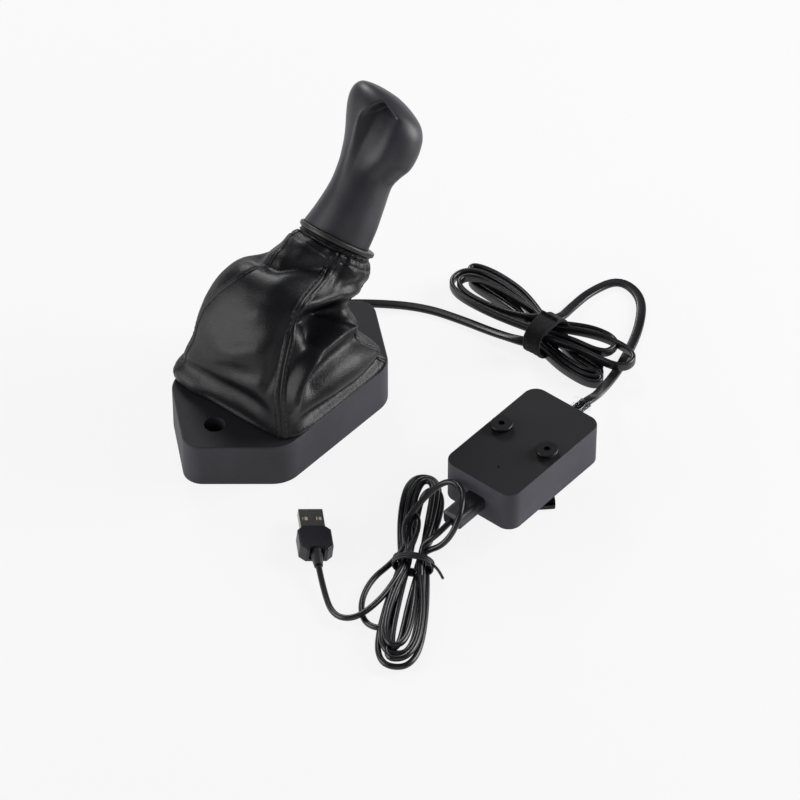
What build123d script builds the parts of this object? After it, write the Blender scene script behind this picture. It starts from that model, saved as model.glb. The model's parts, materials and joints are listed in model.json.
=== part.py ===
"""Sim racing handbrake: a spring-returned lever on a screw-down base, wired to a small USB control box."""
from build123d import *
import os
from math import atan2, cos, degrees, hypot, pi, radians, sin, tan

os.makedirs("parts", exist_ok=True)

# Base housing: an elongated hexagon, long axis along X, standing on the floor at z 0
BASE_HALF_LENGTH = 39.0
BASE_HALF_WIDTH = 38.0
BASE_POINT = 32.0
BASE_HEIGHT = 24.0
BASE_WALL = 3.0
BASE_TOP = 4.0
SIDE_RADIUS = 16.0
POINT_RADIUS = 10.0
BASE_EDGE = 1.0
PLATE_THICK = 2.5
PLATE_GAP = 0.2

# Screw-down holes near both points of the base
MOUNT_X = BASE_HALF_LENGTH + 9.7
MOUNT_HOLE_R = 2.75
MOUNT_HEAD_R = 5.2
MOUNT_HEAD_DEPTH = 8.4
MOUNT_BOSS_R = 6.4
MOUNT_STEM_R = 4.6
MOUNT_FLOOR = 1.2
MOUNT_BOSS_Z = BASE_HEIGHT - MOUNT_HEAD_DEPTH - MOUNT_FLOOR

# Screws that close the base from below, and screws that hold the gaiter frame from above
SCREW_R = 1.5
SCREW_HEAD_R = 2.9
SCREW_HEAD = 1.7
PILOT_R = 1.52
SCREW_LENGTH = 10.0
FRAME_SCREW_LENGTH = 8.0
CORNER_BOSS_R = 3.8
CORNER_REACH = (BASE_HALF_LENGTH - 7.2, BASE_HALF_WIDTH - 6.2)
FRAME_REACH = (BASE_HALF_LENGTH - 10.0, BASE_HALF_WIDTH - 9.0)
FRAME_BOSS_Z = BASE_HEIGHT - FRAME_SCREW_LENGTH - 2.0
FRAME_THICK = 2.6

# Works across the base: the sensor board stands off the wall, and the axle, cheeks and hub follow it inward
SENSOR_ROOM = 10.8
SENSOR_Y = BASE_HALF_WIDTH - BASE_WALL - SENSOR_ROOM
SENSOR_THICK = 1.6
CHIP_THICK = 1.2
MAGNET_AIR = 0.8
CUP_DEPTH = 2.8
CUP_FLOOR = 0.8
AXLE_END = SENSOR_Y - CHIP_THICK - MAGNET_AIR - CUP_DEPTH
CHEEK_THICK = 2.0
AXLE_OVERHANG = 2.4
CHEEK_INNER = AXLE_END - AXLE_OVERHANG - CHEEK_THICK
BRACKET_PLATE = 1.5
BUSH_FLANGE = 0.9
HUB_PLAY = 0.6
HUB_HALF = CHEEK_INNER - BUSH_FLANGE - HUB_PLAY
GROOVE_AT = 0.5
GROOVE_WIDTH = 1.0
GROOVE_DEPTH = 0.5
CLIP_PLAY = 0.05
CLIP_RIM = 1.6

# Lever: pivot midway between the bracket's floor and the base's ceiling, leaning towards the cable end
PIVOT_X = -21.8
WORKS_Z = PLATE_THICK + BRACKET_PLATE
PIVOT_Z = (WORKS_Z + BASE_HEIGHT - BASE_TOP) / 2
LEAN = 43.0
SLOT_X = (-31.0, 6.0)
SLOT_WIDTH = 22.0
SLOT_RADIUS = 4.0
AXLE_R = 4.0
BUSH_R = 5.0
BUSH_RIM = 1.5
FIT = 0.05
HUB_LIFT = 0.5
HUB_R = PIVOT_Z - WORKS_Z - HUB_LIFT
SOCKET_R = 9.0
SOCKET_END = 24.0
SHAFT_R = 6.0
SHAFT_BORE_R = 3.6
SHAFT_START = 9.0
SHAFT_END = 146.0
COLLAR_AT = 96.4
COLLAR_R = 20.0
COLLAR_THICK = 2.6
SPIGOT_R = 14.0
SPIGOT_LENGTH = 9.0
HEEL_REACH = 13.5
HEEL_WIDTH = 10.0
HEEL_PAD_R = 5.0
HEEL_PAD_Z = PIVOT_Z + 0.6
HEEL_THICK = 4.0
STOP_GAP = 0.5
STOP_HALF = 7.0
SPRING_R = 3.9
SPRING_WIRE_R = 0.5
SPRING_TURNS = 4.0

# Sensor: board held in two posts of the plate, plug header and leads on its far side
SENSOR_HALF = 10.1
MAGNET_R = 3.0
HEADER_DEPTH = 5.0
HEADER_HALF = 3.1
LEAD_Z = PIVOT_Z - 3.5
LEAD_PITCH = 1.25
BRACKET_REACH = (19.0, 22.0)

# Control box, standing on the two slot nuts of its mounting bolts
BOX_X = (-4.5, 66.0)
BOX_Y = (-150.3, -107.3)
BOX_Z = (11.0, 33.4)
BOX_RADIUS = 7.0
BOX_WALL = 2.2
BOX_BOSS = 4.0
BOLT_X = 31.7
BOLT_SPREAD = 14.1
BOLT_HEAD_R = 5.5
BOLT_HEAD = 1.5
BOLT_R = 2.45
BOLT_CLEAR_R = 2.7
BOLT_STAND_OFF = 1.5
NUT_SIDE = 9.0
NUT_THICK = 3.6
BOARD_THICK = 1.6
BOARD_Z = 17.2
LED_AT = (9.5, -131.0)

# Signal jack on the rear side of the base's cable end
JACK_AT = (BASE_HALF_LENGTH + BASE_POINT / 2, BASE_HALF_WIDTH / 2)
JACK_TURN = degrees(atan2(BASE_POINT, BASE_HALF_WIDTH))
JACK_WIDTH = 12.6
JACK_DEPTH = 14.0
JACK_Z = (2.55, 14.15)
PLUG_WIDTH = 9.6
PLUG_HEIGHT = 6.6
PLUG_LENGTH = 11.4

# Cords
FLAT_WIDTH = 5.0
FLAT_THICK = 2.3
USB_CORD_R = 1.5
LEAD_R = 0.6

SAVED = []


def save(name, *solids):
    """Write one sub-part, made of one or more separate solids."""
    bodies = []
    for solid in solids:
        bodies.extend(solid.solids())
    shape = bodies[0] if len(bodies) == 1 else Compound(children=bodies)
    shape.label = name
    export_step(shape, f"parts/{name}.step")
    SAVED.append(name)
    print(name, len(bodies), "solid(s)", round(sum(body.volume for body in bodies), 1), "mm3")


def box_between(x, y, z):
    """A block given by its limits on each axis."""
    size = (x[1] - x[0], y[1] - y[0], z[1] - z[0])
    centre = ((x[0] + x[1]) / 2, (y[0] + y[1]) / 2, (z[0] + z[1]) / 2)
    return Pos(*centre) * Box(*size)


def rod(x, y, z, radius):
    """A vertical cylinder from z[0] to z[1]."""
    height = z[1] - z[0]
    return Pos(x, y, z[0] + height / 2) * Cylinder(radius, height)


def cross_rod(x, z, y, radius):
    """A cylinder along Y from y[0] to y[1]."""
    length = y[1] - y[0]
    return Pos(x, y[0] + length / 2, z) * Rot(90, 0, 0) * Cylinder(radius, length)


def lever_plane(along=0.0, side=0.0):
    """Plane across the lever at a distance from its pivot; local x points down the lean, y along the axle."""
    tilt = radians(LEAN)
    origin = (PIVOT_X + along * sin(tilt), side, PIVOT_Z + along * cos(tilt))
    return Plane(origin=origin, x_dir=(cos(tilt), 0, -sin(tilt)), z_dir=(sin(tilt), 0, cos(tilt)))


def lever_point(along, across):
    """The x and z of a point in the lever's mid plane, across pointing down the lean."""
    tilt = radians(LEAN)
    return (PIVOT_X + along * sin(tilt) + across * cos(tilt), PIVOT_Z + along * cos(tilt) - across * sin(tilt))


def lever_rod(start, end, radius):
    """A cylinder along the lever's axis."""
    return lever_plane(start) * Pos(0, 0, (end - start) / 2) * Cylinder(radius, end - start)


def base_outline(inset=0.0):
    """The base's hexagon with rounded corners, drawn in by a distance."""
    slant = hypot(BASE_POINT, BASE_HALF_WIDTH)
    side_x = BASE_HALF_LENGTH + inset * (BASE_POINT - slant) / BASE_HALF_WIDTH
    side_y = BASE_HALF_WIDTH - inset
    tip_x = BASE_HALF_LENGTH + BASE_POINT - inset * slant / BASE_HALF_WIDTH
    points = [(-side_x, -side_y), (side_x, -side_y), (tip_x, 0), (side_x, side_y), (-side_x, side_y), (-tip_x, 0)]
    face = make_face(Polyline(*points, close=True))
    face = fillet(face.vertices().filter_by(lambda v: abs(v.Y) > side_y / 2), SIDE_RADIUS - inset)
    ends = face.vertices().filter_by(lambda v: abs(v.X) > (side_x + tip_x) / 2)
    return fillet(ends, POINT_RADIUS - inset)


def mount_places():
    return [(-MOUNT_X, 0), (MOUNT_X, 0)]


def corner_places(reach=CORNER_REACH):
    return [(i * reach[0], j * reach[1]) for i in (-1, 1) for j in (-1, 1)]


def jack_place(out=0.0, z=0.0):
    """Placement whose local x points out of the wall through the jack."""
    turn = radians(JACK_TURN)
    return Pos(JACK_AT[0] + out * cos(turn), JACK_AT[1] + out * sin(turn), z) * Rot(0, 0, JACK_TURN)


def base_housing():
    """Hollow moulded base, open below, with the lever slot, screw wells and jack window."""
    body = extrude(base_outline(), BASE_HEIGHT)
    body = fillet(body.faces().sort_by(Axis.Z)[-1].outer_wire().edges(), BASE_EDGE)
    body -= extrude(base_outline(BASE_WALL), BASE_HEIGHT - BASE_TOP)
    ceiling = BASE_HEIGHT - BASE_TOP
    for x, y in mount_places():
        body += rod(x, y, (PLATE_THICK + 0.1, ceiling + 1), MOUNT_STEM_R)
        body += rod(x, y, (MOUNT_BOSS_Z, ceiling + 1), MOUNT_BOSS_R)
    for x, y in corner_places():
        body += rod(x, y, (PLATE_THICK + 0.1, ceiling + 1), CORNER_BOSS_R)
    for x, y in corner_places(FRAME_REACH):
        body += rod(x, y, (FRAME_BOSS_Z, ceiling + 1), CORNER_BOSS_R)
    for x, y in mount_places():
        body -= rod(x, y, (0, BASE_HEIGHT), MOUNT_HOLE_R)
        body -= rod(x, y, (BASE_HEIGHT - MOUNT_HEAD_DEPTH, BASE_HEIGHT), MOUNT_HEAD_R)
    for x, y in corner_places():
        body -= rod(x, y, (0, SCREW_LENGTH + 1), PILOT_R)
    for x, y in corner_places(FRAME_REACH):
        body -= rod(x, y, (BASE_HEIGHT - FRAME_SCREW_LENGTH, BASE_HEIGHT), PILOT_R)
    slot = Rectangle(SLOT_X[1] - SLOT_X[0], SLOT_WIDTH)
    slot = fillet(slot.vertices(), SLOT_RADIUS)
    slot = Pos((SLOT_X[0] + SLOT_X[1]) / 2, 0, ceiling - 1) * extrude(slot, BASE_TOP + 2)
    body -= slot
    gap = 0.1
    window = Box(12, JACK_WIDTH + 2 * gap, JACK_Z[1] - JACK_Z[0] + 2 * gap)
    body -= jack_place(0, (JACK_Z[0] + JACK_Z[1]) / 2) * window
    return body


def base_plate():
    """Flat cover that closes the base from below and carries the works."""
    plate = extrude(base_outline(BASE_WALL + PLATE_GAP), PLATE_THICK)
    for x, y in mount_places():
        plate -= rod(x, y, (-1, PLATE_THICK + 1), MOUNT_HOLE_R)
    sinks = corner_places() + bracket_holes()
    for x, y in sinks:
        plate -= rod(x, y, (-1, PLATE_THICK + 1), SCREW_R + 0.1)
        plate -= Pos(x, y, SCREW_HEAD / 2) * Cone(SCREW_HEAD_R + 0.1, SCREW_R + 0.1, SCREW_HEAD)
    for side in (-1, 1):
        x = PIVOT_X + side * (SENSOR_HALF + 0.7)
        y = (SENSOR_Y - 1.8, SENSOR_Y + SENSOR_THICK + 1.6)
        post = box_between((x - 2, x + 2), y, (PLATE_THICK - 0.5, FRAME_BOSS_Z - 1))
        groove = (SENSOR_Y - FIT, SENSOR_Y + SENSOR_THICK + FIT)
        reach = SENSOR_HALF + 0.1
        post -= box_between((PIVOT_X - reach, PIVOT_X + reach), groove, (PLATE_THICK, BASE_HEIGHT))
        plate += post
    return plate


def bracket_holes():
    return [(PIVOT_X + i * 11, j * (CHEEK_INNER - 4.5)) for i in (-1, 1) for j in (-1, 1)]


def countersunk_screw(x, y, length):
    """Countersunk screw driven upward from z 0, with a hexagon socket."""
    head = Pos(x, y, SCREW_HEAD / 2) * Cone(SCREW_HEAD_R, SCREW_R, SCREW_HEAD)
    screw = head + rod(x, y, (SCREW_HEAD, length), SCREW_R)
    return screw - Pos(x, y, 0) * extrude(RegularPolygon(1.0, 6), 1.2)


def pan_screw(x, y, z, length):
    """Pan-head screw driven downward, its head resting on z."""
    head = Pos(x, y, z + 0.9) * Cylinder(SCREW_HEAD_R, 1.8)
    head = fillet(head.edges().sort_by(Axis.Z)[-1], 0.7)
    screw = head + rod(x, y, (z - length, z), SCREW_R)
    return screw - Pos(x, y, z + 0.7) * extrude(RegularPolygon(1.0, 6), 2)


def pivot_bracket():
    """Bent steel cradle: a floor plate and two cheeks that carry the axle's bushes."""
    low = PLATE_THICK
    outer = CHEEK_INNER + CHEEK_THICK
    floor = box_between((PIVOT_X - BRACKET_REACH[0], PIVOT_X + BRACKET_REACH[1]), (-outer, outer), (low, WORKS_Z))
    cradle = floor
    for side in (-1, 1):
        y = sorted((side * CHEEK_INNER, side * outer))
        foot, brow, top = BUSH_R + 8.0, BUSH_R + 2.5, PIVOT_Z + BUSH_R + 0.5
        profile = Polyline(
            (PIVOT_X - foot, low), (PIVOT_X + foot, low), (PIVOT_X + brow, top), (PIVOT_X - brow, top), close=True)
        cheek = extrude(make_face(Plane.XZ * profile), CHEEK_THICK / 2, both=True)
        cradle += Pos(0, (y[0] + y[1]) / 2, 0) * cheek
        cradle -= cross_rod(PIVOT_X, PIVOT_Z, y, BUSH_R)
    for x, y in bracket_holes():
        cradle -= rod(x, y, (low - 1, low + BRACKET_PLATE + 1), SCREW_R + 0.02)
    spring_x = PIVOT_X - HEEL_REACH
    cradle -= rod(spring_x, 0, (low - 1, low + BRACKET_PLATE + 1), 1.2)
    return cradle


def pivot_bush(side):
    """Flanged plastic bush in one cheek, flange inside."""
    inner = CHEEK_INNER - BUSH_FLANGE
    outer = CHEEK_INNER + CHEEK_THICK
    bush = cross_rod(PIVOT_X, PIVOT_Z, sorted((side * CHEEK_INNER, side * outer)), BUSH_R - 0.02)
    bush += cross_rod(PIVOT_X, PIVOT_Z, sorted((side * inner, side * CHEEK_INNER)), BUSH_R + BUSH_RIM)
    return bush - cross_rod(PIVOT_X, PIVOT_Z, (-outer - 1, outer + 1), AXLE_R + FIT)


def pivot_axle():
    """Axle with a circlip groove near each end and a seat for the magnet."""
    axle = cross_rod(PIVOT_X, PIVOT_Z, (-AXLE_END, AXLE_END), AXLE_R)
    axle = chamfer(axle.edges().group_by(Axis.Y)[0] + axle.edges().group_by(Axis.Y)[-1], 0.4)
    for side in (-1, 1):
        start = CHEEK_INNER + CHEEK_THICK + GROOVE_AT
        y = sorted((side * start, side * (start + GROOVE_WIDTH)))
        core = cross_rod(PIVOT_X, PIVOT_Z, y, AXLE_R - GROOVE_DEPTH)
        axle -= cross_rod(PIVOT_X, PIVOT_Z, y, AXLE_R + 1) - core
    return axle


def circlip(side):
    """Spring-steel ring with a gap, seated in the axle's groove."""
    start = CHEEK_INNER + CHEEK_THICK + GROOVE_AT + CLIP_PLAY
    end = start + GROOVE_WIDTH - 2 * CLIP_PLAY
    ring = cross_rod(PIVOT_X, PIVOT_Z, sorted((side * start, side * end)), AXLE_R + CLIP_RIM)
    ring -= cross_rod(PIVOT_X, PIVOT_Z, (-end - 1, end + 1), AXLE_R - GROOVE_DEPTH + 0.02)
    gap = box_between((PIVOT_X - 1.6, PIVOT_X + 1.6), (-end - 1, end + 1), (PIVOT_Z, PIVOT_Z + 2 * AXLE_R))
    return ring - gap


def lever_hub():
    """Hub on the axle with the shaft's socket and the heel that presses the return spring."""
    hub = cross_rod(PIVOT_X, PIVOT_Z, (-HUB_HALF, HUB_HALF), HUB_R)
    reach = SOCKET_END + SOCKET_R
    room = box_between((PIVOT_X - reach, PIVOT_X + reach), (-SOCKET_R, SOCKET_R), (PIVOT_Z - 6, PIVOT_Z + reach))
    hub += lever_rod(0, SOCKET_END, SOCKET_R) & room
    pad_x = PIVOT_X - HEEL_REACH
    half = HEEL_WIDTH / 2
    hub += box_between((pad_x, PIVOT_X), (-half, half), (HEEL_PAD_Z, HEEL_PAD_Z + HEEL_THICK))
    hub += rod(pad_x, 0, (HEEL_PAD_Z, HEEL_PAD_Z + HEEL_THICK), HEEL_PAD_R)
    hub -= lever_rod(SHAFT_START, SOCKET_END + 1, SHAFT_R + 0.02)
    hub -= cross_rod(PIVOT_X, PIVOT_Z, (-HUB_HALF - 1, HUB_HALF + 1), AXLE_R + 0.02)
    hub -= lever_plane(16) * Rot(90, 0, 0) * Pos(0, 0, 7.5) * Cylinder(2.02, 8)
    return hub


def grub_screw():
    """Socket set screw that locks the shaft in the hub."""
    screw = Cylinder(2.0, 2.9) - Pos(0, 0, 0.9) * extrude(RegularPolygon(1.0, 6), 2)
    return lever_plane(16) * Rot(90, 0, 0) * Pos(0, 0, SHAFT_R + 1.5) * screw


def lever_shaft():
    """Steel tube from the hub up into the grip."""
    tube = lever_rod(SHAFT_START + 0.2, SHAFT_END, SHAFT_R)
    tube = chamfer(tube.edges().filter_by(GeomType.CIRCLE), 0.5)
    return tube - lever_rod(SHAFT_START, SHAFT_END + 1, SHAFT_BORE_R)


def collar_ring():
    """Flanged ring under the grip, with a spigot that the gaiter's neck is gathered on."""
    low = COLLAR_AT - COLLAR_THICK / 2
    ring = lever_rod(low, low + COLLAR_THICK, COLLAR_R)
    ring = fillet(ring.edges().filter_by(GeomType.CIRCLE), 0.9)
    ring += lever_rod(low - SPIGOT_LENGTH, low + 0.2, SPIGOT_R)
    return ring - lever_rod(low - SPIGOT_LENGTH - 1, low + COLLAR_THICK + 1, SHAFT_R + 0.05)


# Grip sections: height above the collar, sideways shift of the centre, half depth, half width
GRIP_SECTIONS = [
    (1.35, 1.4, 17.2, 17.6),
    (12.0, 0.5, 16.3, 16.2),
    (24.0, 0.6, 15.0, 14.8),
    (34.0, 1.6, 14.6, 14.6),
    (40.0, 1.3, 14.8, 16.4),
    (45.5, 0.7, 15.2, 18.8),
    (51.0, 1.4, 15.6, 20.4),
    (57.0, 3.1, 15.8, 21.7),
    (63.0, 5.3, 15.4, 22.1),
    (68.0, 8.0, 14.2, 20.4),
    (72.0, 11.6, 11.9, 16.0),
    (74.6, 14.6, 8.4, 10.6),
    (75.6, 16.2, 3.6, 4.6),
]
# Thumb scoop: its gabled outline (side, height), its floor (depth side, height), its walls' slope and its twist
SCOOP_OUTLINE = [(4.0, 73.5), (12.5, 61.0), (11.0, 40.0), (-12.0, 40.0), (-12.0, 67.5)]
SCOOP_FLOOR = [(-15.8, 40.0), (-12.8, 52.0), (-8.6, 62.0), (-4.0, 74.0)]
SCOOP_REACH = 17.0
SCOOP_WALL = 30.0
SCOOP_TWIST = 14.0


def thumb_scoop():
    """Tool for the thumb's scoop: deepest under its gable, fading out down the grip."""
    across = Plane(origin=(-SCOOP_REACH, 0, 0), x_dir=(0, 1, 0), z_dir=(1, 0, 0))
    pocket = extrude(across * make_face(Polyline(*SCOOP_OUTLINE, close=True)), SCOOP_REACH - 4, taper=SCOOP_WALL)
    far = -2 * SCOOP_REACH
    low, high = SCOOP_FLOOR[0][1], SCOOP_FLOOR[-1][1]
    floor = Spline(*SCOOP_FLOOR)
    rim = Polyline((SCOOP_FLOOR[-1][0], high), (far, high), (far, low), (SCOOP_FLOOR[0][0], low))
    open_side = extrude(Plane.XZ * make_face(floor + rim), SCOOP_REACH, both=True)
    return pocket & (Rot(0, 0, SCOOP_TWIST) * open_side)


def grip():
    """Moulded handle: a round waist that swells into a skewed head with a thumb scoop."""
    rings = []
    for height, shift, depth, width in GRIP_SECTIONS:
        rings.append(lever_plane(COLLAR_AT + height) * Pos(0, shift, 0) * Ellipse(depth, width))
    body = loft(rings) - lever_plane(COLLAR_AT) * thumb_scoop()
    return body - lever_rod(COLLAR_AT, SHAFT_END + 0.5, SHAFT_R + 0.05)


def return_spring():
    """Compression spring under the heel."""
    x = PIVOT_X - HEEL_REACH
    low = WORKS_Z + SPRING_WIRE_R + 0.05
    high = HEEL_PAD_Z - SPRING_WIRE_R - 0.05
    path = Pos(x, 0, low) * Helix((high - low) / SPRING_TURNS, high - low, SPRING_R)
    start = Plane(origin=path @ 0, z_dir=path % 0)
    return sweep(start * Circle(SPRING_WIRE_R), path, is_frenet=True)


def rest_stop():
    """Rubber wedge on the bracket that the lever leans against at rest."""
    low_x, low_z = lever_point(5.65, SOCKET_R + STOP_GAP)
    high_x, high_z = lever_point(17.05, SOCKET_R + STOP_GAP)
    back_x = high_x + 2.2
    profile = Polyline(
        (low_x, WORKS_Z), (back_x, WORKS_Z), (back_x, high_z + 1.4), (high_x, high_z), (low_x, low_z), close=True)
    return extrude(make_face(Plane.XZ * profile), STOP_HALF, both=True)


def magnet_cup():
    cup = cross_rod(PIVOT_X, PIVOT_Z, (AXLE_END, AXLE_END + CUP_DEPTH), MAGNET_R + 1.4)
    return cup - cross_rod(PIVOT_X, PIVOT_Z, (AXLE_END + CUP_FLOOR, AXLE_END + CUP_DEPTH + 1), MAGNET_R + 0.02)


def magnet():
    return cross_rod(PIVOT_X, PIVOT_Z, (AXLE_END + CUP_FLOOR, AXLE_END + CUP_DEPTH), MAGNET_R)


def sensor_board():
    """Upright circuit board that faces the axle's magnet."""
    x = (PIVOT_X - SENSOR_HALF, PIVOT_X + SENSOR_HALF)
    return box_between(x, (SENSOR_Y, SENSOR_Y + SENSOR_THICK), (PLATE_THICK, FRAME_BOSS_Z - 0.2))


def sensor_chip():
    y = (SENSOR_Y - CHIP_THICK, SENSOR_Y)
    chip = box_between((PIVOT_X - 2.5, PIVOT_X + 2.5), y, (PIVOT_Z - 1.7, PIVOT_Z + 1.7))
    return chamfer(chip.faces().sort_by(Axis.Y)[0].edges(), 0.3)


def sensor_header():
    x = (PIVOT_X + 0.6, PIVOT_X + 8.4)
    low = SENSOR_Y + SENSOR_THICK
    z = (LEAD_Z - HEADER_HALF, LEAD_Z + HEADER_HALF)
    header = box_between(x, (low, low + HEADER_DEPTH), z)
    return header - box_between((x[0] + 1, x[1] - 1), (low + 1, low + HEADER_DEPTH + 1), (z[0] + 1, z[1] - 1))


def sensor_leads():
    """Three thin wires from the sensor board to the signal jack."""
    wires = []
    for i in range(3):
        z = LEAD_Z + LEAD_PITCH * (i - 1)
        wall = BASE_HALF_WIDTH - BASE_WALL
        route = [
            (PIVOT_X + 4.5, SENSOR_Y + SENSOR_THICK + 1.4, z), (PIVOT_X + 5.0, wall - 2.4, z),
            (JACK_AT[0] - 51.0, wall - 5.4, z), (JACK_AT[0] - 31.0, JACK_AT[1] + 3.5, z),
            (JACK_AT[0] - 19.5, JACK_AT[1] - 11.0, z), jack_point(-JACK_DEPTH - 0.4, 0, z),
        ]
        wires.append(tube(route, LEAD_R, "sensor lead"))
    return wires


def jack_body(depth, width, height):
    """Modular jack: a box with its socket open at local +x, centred on the mouth."""
    body = Pos(-depth / 2, 0, 0) * Box(depth, width, height)
    body -= Pos(-(PLUG_LENGTH + 0.6) / 2 + 0.1, 0, 0) * Box(PLUG_LENGTH + 0.8, PLUG_WIDTH + 0.3, PLUG_HEIGHT + 0.3)
    notch = Pos(-4.9, 0, -PLUG_HEIGHT / 2 - 1.0) * Box(10, 3.4, 2.2)
    return body - notch


def plug_body(out):
    """Clear modular plug, cord end at local +x, reaching out of the socket by a distance."""
    body = Pos(out - (PLUG_LENGTH + 1.5) / 2, 0, 0) * Box(PLUG_LENGTH + 1.5, PLUG_WIDTH, PLUG_HEIGHT)
    body = chamfer(body.edges().filter_by(Axis.X), 0.5)
    latch = Pos(out - 7.0, 0, -PLUG_HEIGHT / 2 - 0.6) * Box(9, 3.0, 1.2)
    body += latch
    return body


# Gaiter sections: centre, lean, half depth, half width, squareness
GAITER_NECK_R = SPIGOT_R + 3.6
NECK_X, NECK_Z = lever_point(COLLAR_AT - COLLAR_THICK / 2 - 1.2, 0)
GAITER_SECTIONS = [
    ((2.0, 1.5, BASE_HEIGHT + 2.0), 0, BASE_HALF_LENGTH + 0.8, BASE_HALF_WIDTH + 0.6, 8),
    ((2.0, 2.0, BASE_HEIGHT + 9.0), 0, BASE_HALF_LENGTH + 0.4, BASE_HALF_WIDTH + 0.6, 7),
    ((-0.5, 2.5, BASE_HEIGHT + 22.0), 9, BASE_HALF_LENGTH - 3.6, BASE_HALF_WIDTH - 2.0, 4),
    ((5.0, 3.5, BASE_HEIGHT + 36.0), 20, 32.0, 33.5, 3),
    ((15.0, 4.0, BASE_HEIGHT + 47.0), 30, 28.5, 28.5, 2.5),
    ((NECK_X - 12.2, 2.0, NECK_Z - 6.5), 38, GAITER_NECK_R + 6.0, GAITER_NECK_R + 2.9, 2.2),
    ((NECK_X - 5.4, 0.4, NECK_Z - 3.9), 42, GAITER_NECK_R + 3.0, GAITER_NECK_R + 1.0, 2),
    ((NECK_X, 0.0, NECK_Z), LEAN, GAITER_NECK_R, GAITER_NECK_R, 2),
]
GAITER_WALL = 2.6
GAITER_RING_POINTS = 40


def gaiter_ring(section, inset, lift=0.0):
    """One closed cross-section of the gaiter, from square at the base to round at the neck."""
    centre, lean, depth, width, power = section
    tilt = radians(lean)
    n = (sin(tilt), 0, cos(tilt))
    origin = (centre[0] + lift * n[0], centre[1], centre[2] + lift * n[2])
    plane = Plane(origin=origin, x_dir=(cos(tilt), 0, -sin(tilt)), z_dir=n)
    points = []
    for i in range(GAITER_RING_POINTS):
        angle = 2 * pi * i / GAITER_RING_POINTS
        c = abs(cos(angle)) / (depth - inset)
        s = abs(sin(angle)) / (width - inset)
        radius = (c ** power + s ** power) ** (-1 / power)
        points.append((radius * cos(angle), radius * sin(angle)))
    return plane * make_face(Spline(*points, periodic=True))


def gaiter():
    """Soft leather boot from the base up to the collar, hollow."""
    outer = loft([gaiter_ring(s, 0) for s in GAITER_SECTIONS])
    inner = []
    last = len(GAITER_SECTIONS) - 1
    for i, section in enumerate(GAITER_SECTIONS):
        lift = {0: -1.0, last: 1.0}.get(i, 0.0)
        inner.append(gaiter_ring(section, GAITER_WALL, lift))
    return outer - loft(inner)


def gaiter_frame():
    """Flat retaining frame that clamps the gaiter's hem, screwed to the base."""
    low = BASE_HEIGHT
    frame = frame_slab((5.0, 9.0, 4.0, 7.0), 12.0) - frame_slab((-0.8, 1.0, -3.5, -0.5), 6.0)
    for x, y in corner_places(FRAME_REACH):
        frame -= rod(x, y, (low - 1, low + FRAME_THICK + 1), SCREW_R + 0.2)
    return frame


def frame_slab(beyond, radius):
    """A rounded slab that reaches beyond the frame's screws by a distance at -X, +X, -Y and +Y."""
    x = (-FRAME_REACH[0] - beyond[0], FRAME_REACH[0] + beyond[1])
    y = (-FRAME_REACH[1] - beyond[2], FRAME_REACH[1] + beyond[3])
    face = fillet(Rectangle(x[1] - x[0], y[1] - y[0]).vertices(), radius)
    return Pos((x[0] + x[1]) / 2, (y[0] + y[1]) / 2, BASE_HEIGHT) * extrude(face, FRAME_THICK)


def neck_band():
    """Sleeve on the collar's spigot that the gaiter's neck is bonded to."""
    at = COLLAR_AT - COLLAR_THICK / 2 - 7.0
    return lever_rod(at, at + 5.0, SPIGOT_R + 0.8) - lever_rod(at - 1, at + 6, SPIGOT_R + 0.02)


def box_place(x, y):
    return Pos((BOX_X[0] + BOX_X[1]) / 2 + x, (BOX_Y[0] + BOX_Y[1]) / 2 + y, 0)


def box_slab(inset, z):
    width = BOX_X[1] - BOX_X[0] - 2 * inset
    depth = BOX_Y[1] - BOX_Y[0] - 2 * inset
    face = fillet(Rectangle(width, depth).vertices(), BOX_RADIUS - inset)
    return box_place(0, 0) * Pos(0, 0, z[0]) * extrude(face, z[1] - z[0])


def bolt_places():
    y = (BOX_Y[0] + BOX_Y[1]) / 2
    return [(BOLT_X, y - BOLT_SPREAD), (BOLT_X, y + BOLT_SPREAD)]


def box_screw_places():
    return [(box_x, box_y) for box_x in (BOX_X[0] + 6.2, BOX_X[1] - 6.2)
            for box_y in (BOX_Y[0] + 6.2, BOX_Y[1] - 6.2)]


PORT_Y = (BOX_Y[0] + BOX_Y[1]) / 2
USB_PORT_Z = BOARD_Z + BOARD_THICK + 1.5
JACK_PORT_Z = BOARD_Z + BOARD_THICK + 6.0


def box_housing():
    """Top and walls of the control box in one moulding, open below."""
    body = box_slab(0, BOX_Z)
    body = fillet(body.faces().sort_by(Axis.Z)[-1].outer_wire().edges(), 0.6)
    body -= box_slab(BOX_WALL, (BOX_Z[0] - 1, BOX_Z[1] - BOX_WALL))
    for x, y in bolt_places():
        body += rod(x, y, (BOX_Z[0] + BOX_WALL + 0.05, BOX_Z[1] - 1), 4.4)
        body -= rod(x, y, (BOX_Z[0] - 1, BOX_Z[1] + 1), BOLT_CLEAR_R)
    for x, y in box_screw_places():
        body += rod(x, y, (BOX_Z[0] + BOX_WALL + 0.05, BOX_Z[1] - 1), BOX_BOSS)
        body -= rod(x, y, (BOX_Z[0], BOX_Z[0] + SCREW_LENGTH + 1), PILOT_R)
    body -= rod(*LED_AT, (BOX_Z[1] - 4, BOX_Z[1] + 1), 0.9)
    body -= Pos(BOX_X[0], PORT_Y, USB_PORT_Z) * Box(8, 9.0, 4.2)
    body -= Pos(BOX_X[1], PORT_Y, JACK_PORT_Z) * Box(8, JACK_WIDTH + 0.2, 12.2)
    return body


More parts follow.
